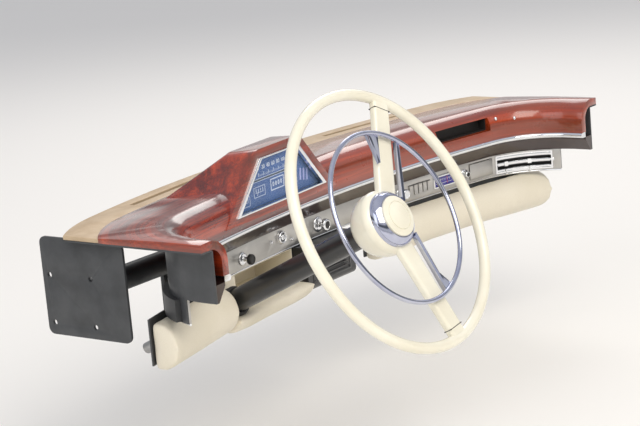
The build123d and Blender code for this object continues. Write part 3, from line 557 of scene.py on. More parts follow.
def turnedPiece(name, steps, sides=48, ease=0.0):
    # a disc drawn out along its axis: each step is a radius and a height
    radius, height = steps[0]
    pickNothing()
    bpy.ops.mesh.primitive_circle_add(vertices=sides, radius=radius, fill_type="NGON",
                                      location=(0, 0, height))
    piece = newest(name)
    bpy.ops.object.transform_apply(location=True, rotation=False, scale=False)
    bpy.ops.object.mode_set(mode="EDIT")
    pickAll()
    for nextRadius, nextHeight in steps[1:]:
        drawOut(nextHeight - height)
        grow = nextRadius / radius
        bpy.ops.transform.resize(value=(grow, grow, 1), center_override=(0, 0, nextHeight))
        radius, height = nextRadius, nextHeight
    pickAll()
    bpy.ops.mesh.normals_make_consistent(inside=False)
    endEdit()
    if ease:
        finishEdges(piece, ease)
    return piece


def slab(name, size, centre, ease, lip=0.0, sunk=0.0):
    # a block with eased edges, its front set in by a lip and sunk where asked
    pickNothing()
    bpy.ops.mesh.primitive_cube_add(size=1, location=centre)
    piece = newest(name)
    piece.scale = size
    bpy.ops.object.transform_apply(location=True, rotation=True, scale=True)
    if lip:
        editFaces(piece, lambda centre, normal: normal.z > 0.9)
        bpy.ops.mesh.inset(thickness=lip)
        drawOut(-sunk)
        endEdit()
    finishEdges(piece, ease)
    return piece


def mergedCopy(node):
    # the solid's loose triangles joined and its flat faces made whole again
    piece = bpy.data.objects.new(node + "Dressed", nodes[node].data.copy())
    bpy.context.scene.collection.objects.link(piece)
    edit(piece)
    pickAll()
    bpy.ops.mesh.remove_doubles(threshold=0.00001)
    bpy.ops.mesh.dissolve_limited(angle_limit=radians(0.3))
    endEdit()
    return piece


# Bezel, wood, brackets and other solids that get eased edges
easedNodes = [
    {"node": "wood_fascia", "width": 0.0016, "slot": "varnished_wood"},
    {"node": "cluster_bezel", "width": 0.0012, "slot": "chrome"},
    {"node": "radio_frame", "width": 0.0007, "slot": "chrome"},
    {"node": "ash_drawer", "width": 0.0006, "slot": "satin_strip", "body": "ash_drawer"},
    {"node": "control_strip", "width": 0.0004, "slot": "satin_strip"},
    {"node": "end_plate_left", "width": 0.0009, "slot": "grey_steel"},
    {"node": "end_plate_right", "width": 0.0009, "slot": "grey_steel"},
    {"node": "bulkhead_bracket", "width": 0.0009, "slot": "grey_steel"},
    {"node": "column_bracket", "width": 0.0010, "slot": "grey_steel"},
    {"node": "column_collar", "width": 0.0020, "slot": "black_plastic"},
    {"node": "defroster_strip", "width": 0.0012, "slot": "beige_plastic"},
    {"node": "horn_ring", "width": 0.0007, "slot": "chrome", "body": "steering"},
]
for row in easedNodes:
    eased = mergedCopy(row["node"])
    finishEdges(eased, row["width"])
    settle(eased, inPlace, nodes[row["node"]].data.materials[0], row.get("body", "dashboard"),
           (row["node"],), smooth=30.0)
print("eased", len(easedNodes), "solids")

# Knobs: collar, waisted neck and a grip with a dished top
knobs = [
    {"node": "knob_far_left", "across": -0.420, "up": 0.0, "collar": 0.012, "grip": 0.009, "reach": 0.020,
     "black": "grip"},
    {"node": "knob_left", "across": -0.270, "up": -0.003, "collar": 0.012, "grip": 0.009, "reach": 0.022,
     "black": "grip"},
    {"node": "knob_middle", "across": -0.034, "up": 0.0, "collar": 0.014, "grip": 0.011, "reach": 0.022,
     "black": "cap"},
    {"node": "radio_knob_left", "across": 0.213, "up": 0.0, "collar": 0.013, "grip": 0.010, "reach": 0.017,
     "black": "nothing"},
    {"node": "radio_knob_right", "across": 0.394, "up": 0.0, "collar": 0.010, "grip": 0.007, "reach": 0.012,
     "black": "cap"},
]
knobShape = {"stem": 0.004, "gripLength": 0.009, "flutes": 24, "fluteDepth": 0.0005}


def makeKnob(row):
    collar, grip, reach = row["collar"], row["grip"], row["reach"]
    stem, foot = knobShape["stem"], reach - knobShape["gripLength"]
    place = onStrip(row["across"], row["up"])
    base = turnedPiece(row["node"] + "Collar", [
        (stem, dash["seat"]), (stem, 0.0003), (collar, 0.0003), (collar, 0.0012), (collar * 0.95, 0.0021),
        (collar * 0.84, 0.0027), (collar * 0.74, 0.0029), (collar * 0.70, 0.0033), (stem * 1.25, 0.0033),
        (stem, 0.0042), (stem, foot)], ease=0.0002)
    body = turnedPiece(row["node"] + "Grip", [
        (grip * 0.50, foot), (grip * 0.88, foot + 0.0004), (grip, foot + 0.0014), (grip, reach - 0.0026),
        (grip * 0.96, reach - 0.0014), (grip * 0.86, reach - 0.0005), (grip * 0.74, reach - 0.0001),
        (grip * 0.66, reach - 0.0001), (grip * 0.62, reach - 0.0007), (grip * 0.05, reach - 0.0010)],
        sides=2 * knobShape["flutes"])
    # every other face of the grip's side is drawn in as a flute
    step = pi / knobShape["flutes"]
    editFaces(body, lambda centre, normal: abs(normal.z) < 0.1 and foot + 0.0015 < centre.z < reach - 0.0027
              and int((atan2(centre.y, centre.x) + pi) / step) % 2 == 0)
    bpy.ops.mesh.extrude_region_shrink_fatten(
        TRANSFORM_OT_shrink_fatten={"value": -knobShape["fluteDepth"]})
    endEdit()
    if row["black"] == "grip":
        settle(base, place, chrome, replaced=(row["node"],))
        settle(body, place, blackTrim)
        return
    knob = joined(row["node"] + "Chrome", [body, base])
    settle(knob, place, chrome, replaced=(row["node"],))
    if row["black"] == "cap":
        cap = turnedPiece(row["node"] + "Cap", [
            (grip * 0.58, reach - 0.0012), (grip * 0.60, reach - 0.0003), (grip * 0.56, reach + 0.0002),
            (grip * 0.40, reach + 0.0006), (grip * 0.10, reach + 0.0008)])
        settle(cap, place, blackTrim)


for row in knobs:
    makeKnob(row)
print("knobs made:", len(knobs))

# Ignition lock: ring, dark well with dots and the key barrel
lock = {"across": -0.148, "up": 0.004, "radius": 0.012, "proud": 0.006, "dots": 6, "dotRing": 0.0068,
        "dotRadius": 0.0007}


def makeLock():
    place = onStrip(lock["across"], lock["up"])
    r, top = lock["radius"], lock["proud"]
    ring = turnedPiece("lockRing", [
        (r * 0.92, dash["seat"]), (r, -0.0002), (r, 0.0022), (r * 0.97, 0.0040), (r * 0.90, top - 0.0006),
        (r * 0.84, top), (r * 0.78, top), (r * 0.74, top - 0.0006), (r * 0.70, 0.0030), (r * 0.05, 0.0030)],
        ease=0.0002)
    settle(ring, place, chrome, replaced=("ignition_lock",))
    well = turnedPiece("lockWell", [(r * 0.695, 0.0025), (r * 0.695, 0.0033), (r * 0.45, 0.0034),
                                    (r * 0.42, 0.0031), (r * 0.05, 0.0031)])
    settle(well, place, blackTrim)
    barrel = turnedPiece("lockBarrel", [(r * 0.40, 0.0030), (r * 0.40, 0.0046), (r * 0.36, 0.0052),
                                        (r * 0.30, 0.0053), (r * 0.04, 0.0053)], ease=0.0001)
    settle(barrel, place, chrome)
    keyway = slab("lockKeyway", (0.0012, 0.0050, 0.0006), (0, 0, 0.0052), 0.0001, lip=0.0002, sunk=0.0001)
    settle(keyway, place, blackTrim)
    dots = []
    ring, r = lock["dotRing"], lock["dotRadius"]
    for number in range(lock["dots"]):
        turn = 2 * pi * number / lock["dots"] + pi / 6
        dot = turnedPiece("lockDot", [(r, 0.0032), (r, 0.0036), (r * 0.6, 0.0039)], sides=12)
        dots.append(shifted(dot, ring * cos(turn), ring * sin(turn)))
    settle(joined("lockDots", dots), place, dialWhite)


makeLock()

# Push buttons with domed heads
buttons = [
    {"node": "button_left", "across": -0.180, "up": 0.003, "radius": 0.0035, "proud": 0.004},
    {"node": "button_right", "across": -0.117, "up": -0.007, "radius": 0.0035, "proud": 0.004},
]
for row in buttons:
    r, top = row["radius"], row["proud"]
    button = turnedPiece(row["node"] + "Head", [
        (r * 0.9, dash["seat"]), (r * 0.9, 0.0), (r * 0.98, 0.0001), (r * 0.98, 0.0008), (r * 0.80, 0.0011),
        (r * 0.80, top - 0.0012), (r * 0.72, top - 0.0005), (r * 0.50, top - 0.0001), (r * 0.15, top)],
        sides=32)
    settle(button, onStrip(row["across"], row["up"]), chrome, replaced=(row["node"],))
print("lock and buttons made")

# Radio: five keys in a dark bed, and the scale with its pointer
radio = {"keysLeft": 0.236, "keyCount": 5, "keyPitch": 0.013, "keyWidth": 0.011, "keyHeight": 0.020,
         "keyProud": 0.003, "dialLeft": 0.306, "dialRight": 0.370, "dialHeight": 0.024, "frame": 0.003,
         "bedDeep": 0.0035, "bedMiddle": -0.0019, "windowDeep": 0.0030, "windowMiddle": -0.0018,
         "marks": 15, "markWide": 0.0005, "markEdge": 0.006, "markTop": 0.0040, "longMark": 0.0042,
         "shortMark": 0.0024, "lineUp": -0.0046, "pointer": (0.0007, 0.014, 0.0004), "pointerAcross": 0.009}


def radioMark(wide, high, across, up):
    return slab("radioMark", (wide, high, 0.0003), (across, up, -0.0006), 0.00005, lip=0.0001, sunk=0.00005)


def makeRadio():
    keysRight = radio["keysLeft"] + (radio["keyCount"] - 1) * radio["keyPitch"] + radio["keyWidth"]
    middle = (radio["keysLeft"] + keysRight) / 2
    place = onStrip(middle)
    bed = slab("radioKeyBed", (keysRight - radio["keysLeft"], radio["keyHeight"], radio["bedDeep"]),
               (0, 0, radio["bedMiddle"]), 0.0003, lip=0.0008, sunk=0.0006)
    settle(bed, place, blackTrim)
    keys = []
    keySize = (radio["keyWidth"] - 0.0006, radio["keyHeight"] - 0.002, radio["keyProud"] + 0.002)
    for number in range(radio["keyCount"]):
        across = radio["keysLeft"] + number * radio["keyPitch"] + radio["keyWidth"] / 2 - middle
        keys.append(slab("radioKey", keySize, (across, 0, radio["keyProud"] / 2 - 0.001), 0.0008,
                         lip=0.0016, sunk=0.0004))
    settle(joined("radioKeyRow", keys), place, satin, replaced=("radio_keys",))
    dialPlace = onStrip((radio["dialLeft"] + radio["dialRight"]) / 2)
    half = (radio["dialRight"] - radio["dialLeft"]) / 2 - radio["frame"]
    tall = radio["dialHeight"] - 2 * radio["frame"]
    window = slab("radioWindow", (2 * half, tall, radio["windowDeep"]), (0, 0, radio["windowMiddle"]), 0.0003,
                  lip=0.0008, sunk=0.0005)
    settle(window, dialPlace, dialViolet, replaced=("radio_dial",))
    marks = []
    reach = half - radio["markEdge"]
    for number in range(radio["marks"]):
        high = radio["longMark"] if number % 2 == 0 else radio["shortMark"]
        marks.append(radioMark(radio["markWide"], high, -reach + number * 2 * reach / (radio["marks"] - 1),
                               radio["markTop"] - high / 2))
    marks.append(radioMark(2 * half - 0.010, radio["markWide"], 0, radio["lineUp"]))
    settle(joined("radioMarks", marks), dialPlace, dialWhite)
    pointer = slab("radioPointer", radio["pointer"], (radio["pointerAcross"], 0, -0.0004), 0.0001,
                   lip=0.0002, sunk=0.0001)
    settle(pointer, dialPlace, pointerRed)


makeRadio()
print("radio made")

# Air vents: dark throat with curved slats, two pull tabs below and a screw
vent = {"start": radians(22.0), "end": radians(68.0), "steps": 20, "height": 0.036, "slats": 2,
        "slatThick": 0.0007, "slatSet": 0.0065, "slatDeep": 0.004, "throatTall": 0.0298, "throatNear": 0.0120,
        "throatFar": 0.0135, "inset": 0.021, "bayStart": 0.002, "bayShort": 0.005,
        "tabs": (radians(31.0), radians(50.0)), "tabOut": 0.0025, "tabUp": 0.0035,
        "screw": radians(65.2) + 0.05}
ventLips = [
    {"up": 0.0120, "tall": 0.0056, "near": -0.0012, "far": 0.0040, "inset": 0.018},
    {"up": -0.0126, "tall": 0.0044, "near": -0.0012, "far": 0.0040, "inset": 0.018},
    {"up": 0.0, "tall": 0.0062, "near": -0.0018, "far": -0.0001, "inset": 0.034},
]


def spunSlat(name, side, up, tall, near, far, inset):
    # an upright rectangle on the strip's face, carried round the corner
    start, height = vent["start"] + inset, dash["stripMiddle"] + up
    depth = dash["stripFace"] + (near + far) / 2
    place = onCorner(side, start, depth, height)
    outward = onCorner(side, start, depth + 1, height).translation - place.translation
    turned = Matrix(((outward.x, 0, outward.y), (outward.y, 0, -outward.x), (0, 1, 0))).to_4x4()
    turned.translation = place.translation
    pickNothing()
    bpy.ops.mesh.primitive_plane_add(size=1)
    piece = newest(name)
    bakePlace(piece, turned @ Matrix.Diagonal((far - near, tall, 1, 1)))
    edit(piece)
    pickAll()
    bpy.ops.mesh.spin(steps=vent["steps"], angle=side * (vent["end"] - inset - start),
                      center=(side * dash["cornerX"], dash["cornerY"], 0), axis=(0, 0, 1))
    pickAll()
    bpy.ops.mesh.remove_doubles(threshold=0.00001)
    bpy.ops.mesh.normals_make_consistent(inside=False)
    endEdit()
    return piece


def makeVent(side, node):
    half = vent["height"] / 2
    slats = []
    for bay in (-1, 1):
        for number in range(vent["slats"]):
            share = (number + 1) / (vent["slats"] + 1)
            up = bay * (vent["bayStart"] + (half - vent["bayShort"]) * share)
            slats.append(spunSlat(node + "Slat", side, up, vent["slatThick"], vent["slatSet"],
                                  vent["slatSet"] + vent["slatDeep"], vent["inset"]))
    settle(joined(node + "Slats", slats), inPlace, greySteel)
    shaped = joined(node + "Lips", [
        spunSlat(node + "Lip", side, row["up"], row["tall"], row["near"], row["far"], row["inset"])
        for row in ventLips])
    finishEdges(shaped, 0.0004)
    settle(shaped, inPlace, chrome)
    throat = spunSlat(node + "Throat", side, 0.0, vent["throatTall"], vent["throatNear"], vent["throatFar"],
                      vent["inset"])
    settle(throat, inPlace, blackTrim)
    small = []
    for angle in vent["tabs"]:
        tab = turnedPiece("ventTab", [(0.0016, -0.004), (0.0016, 0.0035), (0.0026, 0.0042),
                                      (0.0028, 0.0062), (0.0024, 0.0072), (0.0008, 0.0075)], sides=20)
        hanging = onCorner(side, angle, dash["stripFace"] - vent["tabOut"],
                           dash["stripMiddle"] - half + vent["tabUp"])
        small.append(bakePlace(tab, hanging @ Matrix.Rotation(radians(90), 4, "X")))
    screw = turnedPiece("ventScrew", [(0.0030, -0.0002), (0.0030, 0.0006), (0.0022, 0.0013),
                                      (0.0008, 0.0016)], sides=24)
    small.append(bakePlace(screw, onCorner(side, vent["screw"], dash["stripFace"], dash["stripMiddle"])))
    settle(joined(node + "Tabs", small), inPlace, chrome)


makeVent(-1, "vent_left")
makeVent(1, "vent_right")
print("vents made")

# Instrument face: plain numbers over a ribbon scale, framed gauges below and tall marks at the right
dials = {"across": -0.185, "depth": 0.0055, "relief": 0.0004, "numbers": 7, "numberStep": 20,
         "numberPitch": 0.0155, "numberUp": 0.0925, "numberSize": 0.0100, "narrow": 0.82, "tickFoot": 0.0779,
         "longTick": (0.0062, 0.0012), "shortTick": (0.0032, 0.0008), "ribbonUp": 0.0725, "ribbonLong": 0.128,
         "ribbonWide": 0.0042, "ribbonLine": 0.0008}
gauges = [
    {"across": -0.094, "up": 0.0430, "wide": 0.030, "high": 0.016, "line": 0.0009},
    {"across": -0.048, "up": 0.0530, "wide": 0.034, "high": 0.017, "line": 0.0009},
    {"across": 0.008, "up": 0.0560, "wide": 0.040, "high": 0.019, "line": 0.0018, "digits": 4},
    {"across": 0.054, "up": 0.0520, "wide": 0.032, "high": 0.017, "line": 0.0009},
]
gauge = {"digitPitch": 0.0082, "digitSize": 0.0105, "ticks": (0.0060, 0.0040, 0.0040, 0.0060),
         "tickWide": 0.0014, "tickUp": 0.0030, "baseShare": 0.7, "baseWide": 0.0008, "baseDown": 0.0012,
         "needle": (0.0085, 0.0011), "needleShare": 0.15, "needleDown": 0.0020, "lean": radians(65)}
tallMarks = {"first": 0.082, "pitch": 0.0105, "count": 3, "up": 0.055, "drop": 0.002, "high": 0.021,
             "wide": 0.0046, "lean": pi / 2 - 0.12, "thick": 0.0006}


def flatBar(length, wide, middle, turn, thick=dials["relief"]):
    bar = slab("mark", (length, wide, thick), (0, 0, thick / 2), 0.00006, lip=wide * 0.2, sunk=thick * 0.2)
    return bakePlace(bar, Matrix.Translation((middle[0], middle[1], 0)) @ Matrix.Rotation(turn, 4, "Z"))


def flatNumber(text, size, middle):
    pickNothing()
    bpy.ops.object.text_add(location=(0, 0, 0))
    label = bpy.context.object
    label.data.body = text
    label.data.size = size
    label.data.align_x = "CENTER"
    label.data.align_y = "CENTER"
    label.data.offset = 0.0002
    label.data.extrude = dials["relief"] / 2
    bpy.ops.object.convert(target="MESH")
    label = bpy.context.object
    return shifted(label, middle[0], middle[1], dials["relief"] / 2)


def makeGauge(row):
    across, up, wide, high, line = (row[key] for key in ("across", "up", "wide", "high", "line"))
    marks = []
    for side in (-1, 1):
        marks.append(flatBar(wide + line, line, (across, up + side * high / 2), 0))
        marks.append(flatBar(high, line, (across + side * wide / 2, up), pi / 2))
    if "digits" in row:
        for number in range(row["digits"]):
            offset = (number - (row["digits"] - 1) / 2) * gauge["digitPitch"]
            marks.append(flatNumber("0", gauge["digitSize"], (across + offset, up)))
        return marks
    for number, tick in enumerate(gauge["ticks"]):
        middle = (across + (number - 1.5) * wide / 5, up + gauge["tickUp"])
        marks.append(flatBar(tick, gauge["tickWide"], middle, pi / 2))
    marks.append(flatBar(wide * gauge["baseShare"], gauge["baseWide"], (across, up - gauge["baseDown"]), 0))
    marks.append(flatBar(*gauge["needle"], (across - wide * gauge["needleShare"], up - gauge["needleDown"]),
                         gauge["lean"]))
    return marks


def makeDials():
    place = onDash(dials["across"], dials["depth"])
    marks = []
    for number in range(dials["numbers"]):
        value = number * dials["numberStep"]
        across = (number - (dials["numbers"] - 1) / 2) * dials["numberPitch"]
        size = dials["numberSize"] * (1.0 if value < 100 else dials["narrow"])
        marks.append(flatNumber(str(value), size, (across, dials["numberUp"])))
    ticks = (dials["numbers"] - 1) * 4
    for number in range(ticks + 1):
        high, wide = dials["longTick"] if number % 4 == 0 else dials["shortTick"]
        across = (number - ticks / 2) * dials["numberPitch"] / 4
        marks.append(flatBar(high, wide, (across, dials["tickFoot"] + high / 2), pi / 2))
    for side in (-1, 1):
        marks.append(flatBar(dials["ribbonLong"], dials["ribbonLine"],
                             (0, dials["ribbonUp"] + side * dials["ribbonWide"] / 2), 0))
    for row in gauges:
        marks += makeGauge(row)
    settle(joined("dialMarks", marks), place, dialWhite)
    ribbon = slab("dialRibbon", (dials["ribbonLong"] - 0.002, dials["ribbonWide"] - 0.001, 0.0006),
                  (0, dials["ribbonUp"], 0.0002), 0.0001, lip=0.0004, sunk=0.0002)
    settle(ribbon, place, blackTrim)
    tall = []
    for number in range(tallMarks["count"]):
        middle = (tallMarks["first"] + number * tallMarks["pitch"],
                  tallMarks["up"] - number * tallMarks["drop"])
        tall.append(flatBar(tallMarks["high"], tallMarks["wide"], middle, tallMarks["lean"],
                            tallMarks["thick"]))
    settle(joined("dialTallMarks", tall), place, dialLilac)


makeDials()
print("instrument face made")

# Hub: stepped chrome ring and a plain domed pad with a shallow ring groove
hub = {"outer": 0.046, "padRadius": 0.0337, "padEdge": 0.0164, "padTop": 0.020, "grooveFloor": 0.0173}


def makeHub():
    outer, r = hub["outer"], hub["padRadius"]
    ring = turnedPiece("hubRingPolished", [
        (outer, -0.002), (outer, 0.0035), (outer * 0.985, 0.0052), (outer * 0.955, 0.0072),
        (outer * 0.925, 0.0088), (outer * 0.885, 0.0106), (outer * 0.84, 0.0121), (outer * 0.80, 0.0132),
        (outer * 0.775, 0.0139), (outer * 0.765, 0.0139), (outer * 0.757, 0.0130), (r + 0.0002, 0.0128)],
        sides=96)
    settle(ring, onWheel(), wheelChrome, "steering", ("hub_ring",), smooth=28.0)
    # the dome rises from its edge to its middle, with the groove after its first four steps
    rise = hub["padTop"] - hub["padEdge"]
    dome = [(r * share, hub["padEdge"] + rise * (1 - share ** 2))
            for share in (0.90, 0.84, 0.78, 0.715, 0.675, 0.60, 0.50, 0.40, 0.30, 0.20, 0.10, 0.03)]
    edge = [(r * 0.99, 0.0120), (r, 0.0135), (r, 0.0156), (r * 0.985, hub["padEdge"]), (r * 0.955, 0.0168)]
    groove = [(r * 0.705, hub["grooveFloor"]), (r * 0.685, hub["grooveFloor"])]
    pad = turnedPiece("hubPadDomed", edge + dome[:4] + groove + dome[4:], sides=96)
    settle(pad, onWheel(), ivory, "steering", ("hub_pad",), smooth=28.0)


makeHub()

# Seams where the spokes meet the rim
seams = {"radius": 0.194, "angles": (radians(29.2), radians(173.5)), "width": 0.0344, "thick": 0.0144,
         "line": 0.0014}


def makeSeams():
    lines = []
    for angle in seams["angles"]:
        band = slab("seamBand", (seams["width"], seams["line"], seams["thick"]), (0, 0, 0), 0.0004)
        lines.append(bakePlace(band, Matrix.Rotation(-angle, 4, "Z")
                               @ Matrix.Translation((0, seams["radius"], 0))))
    settle(joined("spokeSeams", lines), onWheel(), blackTrim, "steering")


makeSeams()
print("hub and spoke seams made")


# Small fasteners and the details that show from behind and below
def screwHead(radius, high=0.0012):
    head = turnedPiece("screwHead", [(radius, -0.0003), (radius, high * 0.4), (radius * 0.9, high * 0.75),
                                     (radius * 0.62, high), (radius * 0.16, high)], sides=20)
    editFaces(head, lambda centre, normal: normal.z > 0.95 and abs(centre.y) < radius * 0.2
              and abs(centre.x) < radius * 0.6)
    bpy.ops.mesh.inset(thickness=radius * 0.05)
    drawOut(-high * 0.4)
    endEdit()
    return head


def hexBolt(radius):
    seat, top = 0.0009, 0.0009 + radius * 0.68
    washer = turnedPiece("washer", [(radius * 1.35, -0.0002), (radius * 1.35, seat), (radius * 0.8, 0.0011)],
                         sides=28)
    head = turnedPiece("boltHead", [(radius, seat), (radius, seat + radius * 0.6), (radius * 0.9, top),
                                    (radius * 0.2, top)], sides=6)
    return joined("hexBolt", [washer, head])


def cornerScrews(radius, across, up, seat=0.0):
    return [shifted(screwHead(radius), x, y, seat) for x in (-across, across) for y in (-up, up)]


def looking(place, outward):
    # local Z points outward and Y up
    z = Vector(outward).normalized()
    x = Vector((0, 0, 1)).cross(z).normalized()
    turned = Matrix((x, z.cross(x), z)).transposed().to_4x4()
    turned.translation = Vector(place)
    return turned


studs = [{"across": 0.462, "up": 0.045, "depth": 0.0011}, {"across": 0.500, "up": 0.040, "depth": 0.0011}]
for row in studs:
    stud = turnedPiece("woodStud", [(0.0032, -0.001), (0.0032, 0.0008), (0.0027, 0.0018), (0.0016, 0.0025),
                                    (0.0004, 0.0028)], sides=24)
    angle = asin((row["across"] - dash["cornerX"]) / dash["cornerRadius"])
    settle(stud, onCorner(1, angle, row["depth"], row["up"]), chrome)

radioBack = {"middle": 0.290, "depth": 0.104, "ribs": 12, "rib": (0.0022, 0.026, 0.0040), "ribOut": 0.0016,
             "firstRib": -0.040, "ribPitch": 0.0060, "aerial": 0.058, "screwAcross": 0.084, "screwUp": 0.011}
heater = {"middle": -0.0375, "depth": 0.004, "up": -0.119, "louvres": 6, "firstLouvre": -0.019,
          "louvrePitch": 0.0076, "lean": radians(32), "screwAcross": 0.0545, "screwUp": 0.0235,
          "panel": (0.118, 0.056, 0.0020), "louvre": (0.094, 0.0045, 0.0012), "louvreOut": 0.0020}


def makeBackDetails():
    # radio: cooling ribs across its back, a round aerial socket and screws
    place = (onDash(radioBack["middle"], radioBack["depth"], dash["stripMiddle"])
             @ Matrix.Rotation(pi, 4, "Y"))
    fittings = []
    for number in range(radioBack["ribs"]):
        across = radioBack["firstRib"] + number * radioBack["ribPitch"]
        fittings.append(slab("radioRib", radioBack["rib"], (across, 0, radioBack["ribOut"]), 0.0005))
    aerial = turnedPiece("aerialSocket", [(0.0070, -0.001), (0.0070, 0.0050), (0.0050, 0.0056),
                                          (0.0050, 0.0090), (0.0022, 0.0090), (0.0022, 0.0050)],
                         sides=28, ease=0.0002)
    fittings.append(shifted(aerial, radioBack["aerial"], 0))
    fittings += cornerScrews(0.0026, radioBack["screwAcross"], radioBack["screwUp"])
    settle(joined("radioFittings", fittings), place, bareSteel)
    # heater box: louvres in a raised panel with a screw at each corner
    place = onDash(heater["middle"], heater["depth"], heater["up"])
    grille = [slab("heaterPanel", heater["panel"], (0, 0, 0.0006), 0.0007, lip=0.004, sunk=0.0012)]
    for number in range(heater["louvres"]):
        louvre = slab("heaterLouvre", heater["louvre"], (0, 0, 0), 0.0003)
        up = heater["firstLouvre"] + number * heater["louvrePitch"]
        grille.append(bakePlace(louvre, Matrix.Translation((0, up, heater["louvreOut"]))
                                @ Matrix.Rotation(heater["lean"], 4, "X")))
    grille += cornerScrews(0.0022, heater["screwAcross"], heater["screwUp"], 0.0014)
    settle(joined("heaterGrille", grille), place, blackEnamel)


makeBackDetails()

# Weld beads round the beam, and the column bracket's bolts
beam = {"y": -0.070, "radius": 0.021, "bead": 0.0022, "proud": 0.0006, "waver": 0.0004, "end": 0.5842,
        "boltUps": (-0.030, -0.095), "boltOut": 0.004, "boltRadius": 0.0050}


def makeWelds():
    beads, bolts = [], []
    for side in (-1, 1):
        pickNothing()
        bpy.ops.mesh.primitive_torus_add(major_radius=beam["radius"] + beam["proud"],
                                         minor_radius=beam["bead"], major_segments=72, minor_segments=8)
        bead = bpy.context.object
        edit(bead)
        pickAll()
        bpy.ops.transform.vertex_random(offset=beam["waver"], uniform=0.4, seed=3)
        endEdit()
        beads.append(bakePlace(bead, looking((side * beam["end"], beam["y"], 0), (1, 0, 0))))
    settle(joined("beamWelds", beads), inPlace, greySteel, smooth=60.0)
    for side in (-1, 1):
        for up in beam["boltUps"]:
            place = (wheel["centre"].x, beam["y"] + side * beam["boltOut"], up)
            bolts.append(bakePlace(hexBolt(beam["boltRadius"]), looking(place, (0, side, 0))))
    settle(joined("strutBolts", bolts), inPlace, bareSteel)


makeWelds()
print("fasteners and back details made")

# Padded roll: left and right lengths and the lip, puffed up from the solids
padding = {"voxel": 0.006, "pressure": 4.0, "cap": 0.0035, "frames": 20, "shrink": 0.0012,
           "smoothing": 14, "smoothShare": 0.5}
rolls = [
    {"node": "roll_left", "fill": 0.7},
    {"node": "roll_right", "fill": 0.7},
    {"node": "roll_lip", "fill": 0.5},
]


def puffUp(piece):
    # pressure from inside, with every point's travel capped
    start = [vertex.co.copy() for vertex in piece.data.vertices]
    cloth = piece.modifiers.new("filling", "CLOTH")
    cloth.settings.use_pressure = True
    cloth.settings.uniform_pressure_force = padding["pressure"]
    cloth.settings.effector_weights.gravity = 0.0
    cloth.settings.quality = 4
    cloth.point_cache.frame_start = 1
    cloth.point_cache.frame_end = padding["frames"]
    stage = bpy.context.scene
    for frameNumber in range(1, padding["frames"] + 1):
        stage.frame_set(frameNumber)
    shaped = piece.evaluated_get(bpy.context.evaluated_depsgraph_get())
    ended = [vertex.co.copy() for vertex in shaped.data.vertices]
    piece.modifiers.remove(cloth)
    for vertex, before, after in zip(piece.data.vertices, start, ended):
        travel = after - before
        if travel.length > padding["cap"]:
            travel = travel.normalized() * padding["cap"]
        vertex.co = before + travel
    stage.frame_set(1)


def makeRoll(row):
    piece = mergedCopy(row["node"])
    pick(piece)
    piece.data.remesh_voxel_size = padding["voxel"]
    bpy.ops.object.voxel_remesh()
    shrink = piece.modifiers.new("slack", "DISPLACE")
    shrink.strength = -padding["shrink"]
    shrink.mid_level = 0.0
    bpy.ops.object.modifier_apply(modifier=shrink.name)
    puffUp(piece)
    smooth = piece.modifiers.new("stretched", "SMOOTH")
    smooth.factor = padding["smoothShare"]
    smooth.iterations = padding["smoothing"]
    pick(piece)
    bpy.ops.object.modifier_apply(modifier=smooth.name)
    finer = piece.modifiers.new("finer", "SUBSURF")
    finer.levels = 1
    bpy.ops.object.modifier_apply(modifier=finer.name)
    settle(piece, inPlace, cream, replaced=(row["node"],), smooth=70.0)


for row in rolls:
    makeRoll(row)
print("padded rolls made")

# Camera at the photograph's viewing angle and the studio
view = {
    "place": Vector((-2.820, -2.325, 0.812)),
    "right": Vector((0.4903, -0.8697, -0.0579)),
    "up": Vector((0.2249, 0.0621, 0.9724)),
    "forward": Vector((0.8421, 0.4897, -0.2260)),
    "aim": Vector((-0.083, -0.216, 0.036)),
    "lens": 113.0,
}


def makeCamera():
    data = bpy.data.cameras.new("photoView")
    data.lens = view["lens"]
    data.sensor_width = 36.0
    data.clip_end = 60.0
    camera = bpy.data.objects.new("photoView", data)
    bpy.context.scene.collection.objects.link(camera)
    # the photograph's pose, then turned the short way to centre the dashboard
    turned = Matrix((view["right"], view["up"], -view["forward"])).transposed()
    aim = (view["aim"] - view["place"]).normalized()
    swing = view["forward"].rotation_difference(aim).to_matrix()
    camera.matrix_world = Matrix.Translation(view["place"]) @ (swing @ turned).to_4x4()
    bpy.context.scene.camera = camera


studio = {"floorSize": 30, "floorDrop": 0.16, "floorColour": (0.90, 0.875, 0.83, 1), "strength": 0.75,
          "lampAim": Vector((0, -0.3, 0))}
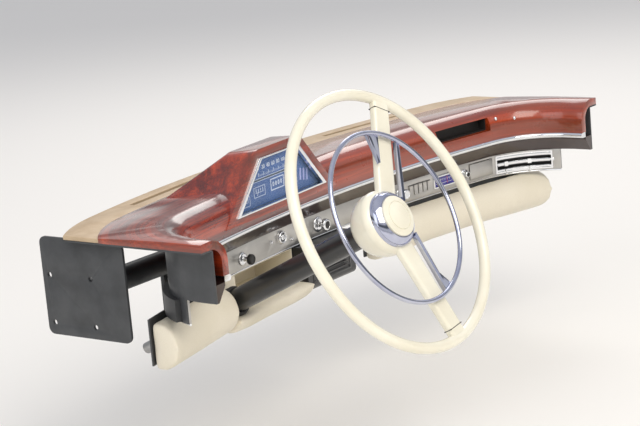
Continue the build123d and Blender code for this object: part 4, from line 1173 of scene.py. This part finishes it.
# from straight below to straight above: pale at the horizon, then a dark band and a sky
skyBands = [
    (0.0, (0.72, 0.71, 0.69, 1)), (0.49, (0.95, 0.945, 0.93, 1)), (0.565, (0.95, 0.945, 0.93, 1)),
    (0.60, (0.15, 0.16, 0.17, 1)), (0.65, (0.20, 0.21, 0.23, 1)), (0.69, (0.98, 0.97, 0.96, 1)),
    (0.76, (0.90, 0.92, 0.96, 1)), (0.84, (0.56, 0.60, 0.74, 1)), (1.0, (0.96, 0.97, 1.0, 1)),
]
lamps = [
    {"name": "keyLamp", "place": (-1.4, -3.4, 3.4), "size": 3.2, "power": 130, "colour": (1, 0.95, 0.86)},
    {"name": "fillLamp", "place": (-3.6, -0.6, 1.8), "size": 3.0, "power": 34, "colour": (0.96, 0.98, 1)},
    {"name": "rimLamp", "place": (2.8, 1.4, 2.8), "size": 2.6, "power": 50, "colour": (1, 0.97, 0.93)},
]


def makeFloor():
    # matt and without sheen
    pickNothing()
    bpy.ops.mesh.primitive_plane_add(size=studio["floorSize"],
                                     location=(0, 0, cadBox[0][2] - studio["floorDrop"]))
    floor = newest("studioFloor")
    material, w, shader = newMaterial("paleFloor")
    w.feed(shader, baseColor=studio["floorColour"], roughness=0.9, specularIorLevel=0.0)
    floor.data.materials.append(material)


def makeSky():
    # the same for the camera, the light and the reflections
    world = bpy.data.worlds.new("studioWorld")
    bpy.context.scene.world = world
    world.use_nodes = True
    w = Wiring(world.node_tree)
    place = w.add("ShaderNodeTexCoord").outputs["Generated"]
    height = w.add("ShaderNodeSeparateXYZ", in0=place).outputs[2]
    w.feed(world.node_tree.nodes["Background"], color=w.ramp(w.span(height, -1.0, 1.0), skyBands),
           strength=studio["strength"])


def makeLamp(row):
    data = bpy.data.lights.new(row["name"], "AREA")
    data.size = row["size"]
    data.energy = row["power"]
    data.color = row["colour"]
    lamp = bpy.data.objects.new(row["name"], data)
    bpy.context.scene.collection.objects.link(lamp)
    lamp.location = row["place"]
    lamp.rotation_euler = (studio["lampAim"] - lamp.location).to_track_quat("-Z", "Y").to_euler()


makeCamera()
makeFloor()
makeSky()
for row in lamps:
    makeLamp(row)
bpy.context.scene.view_settings.view_transform = "Standard"
print("camera and studio ready")
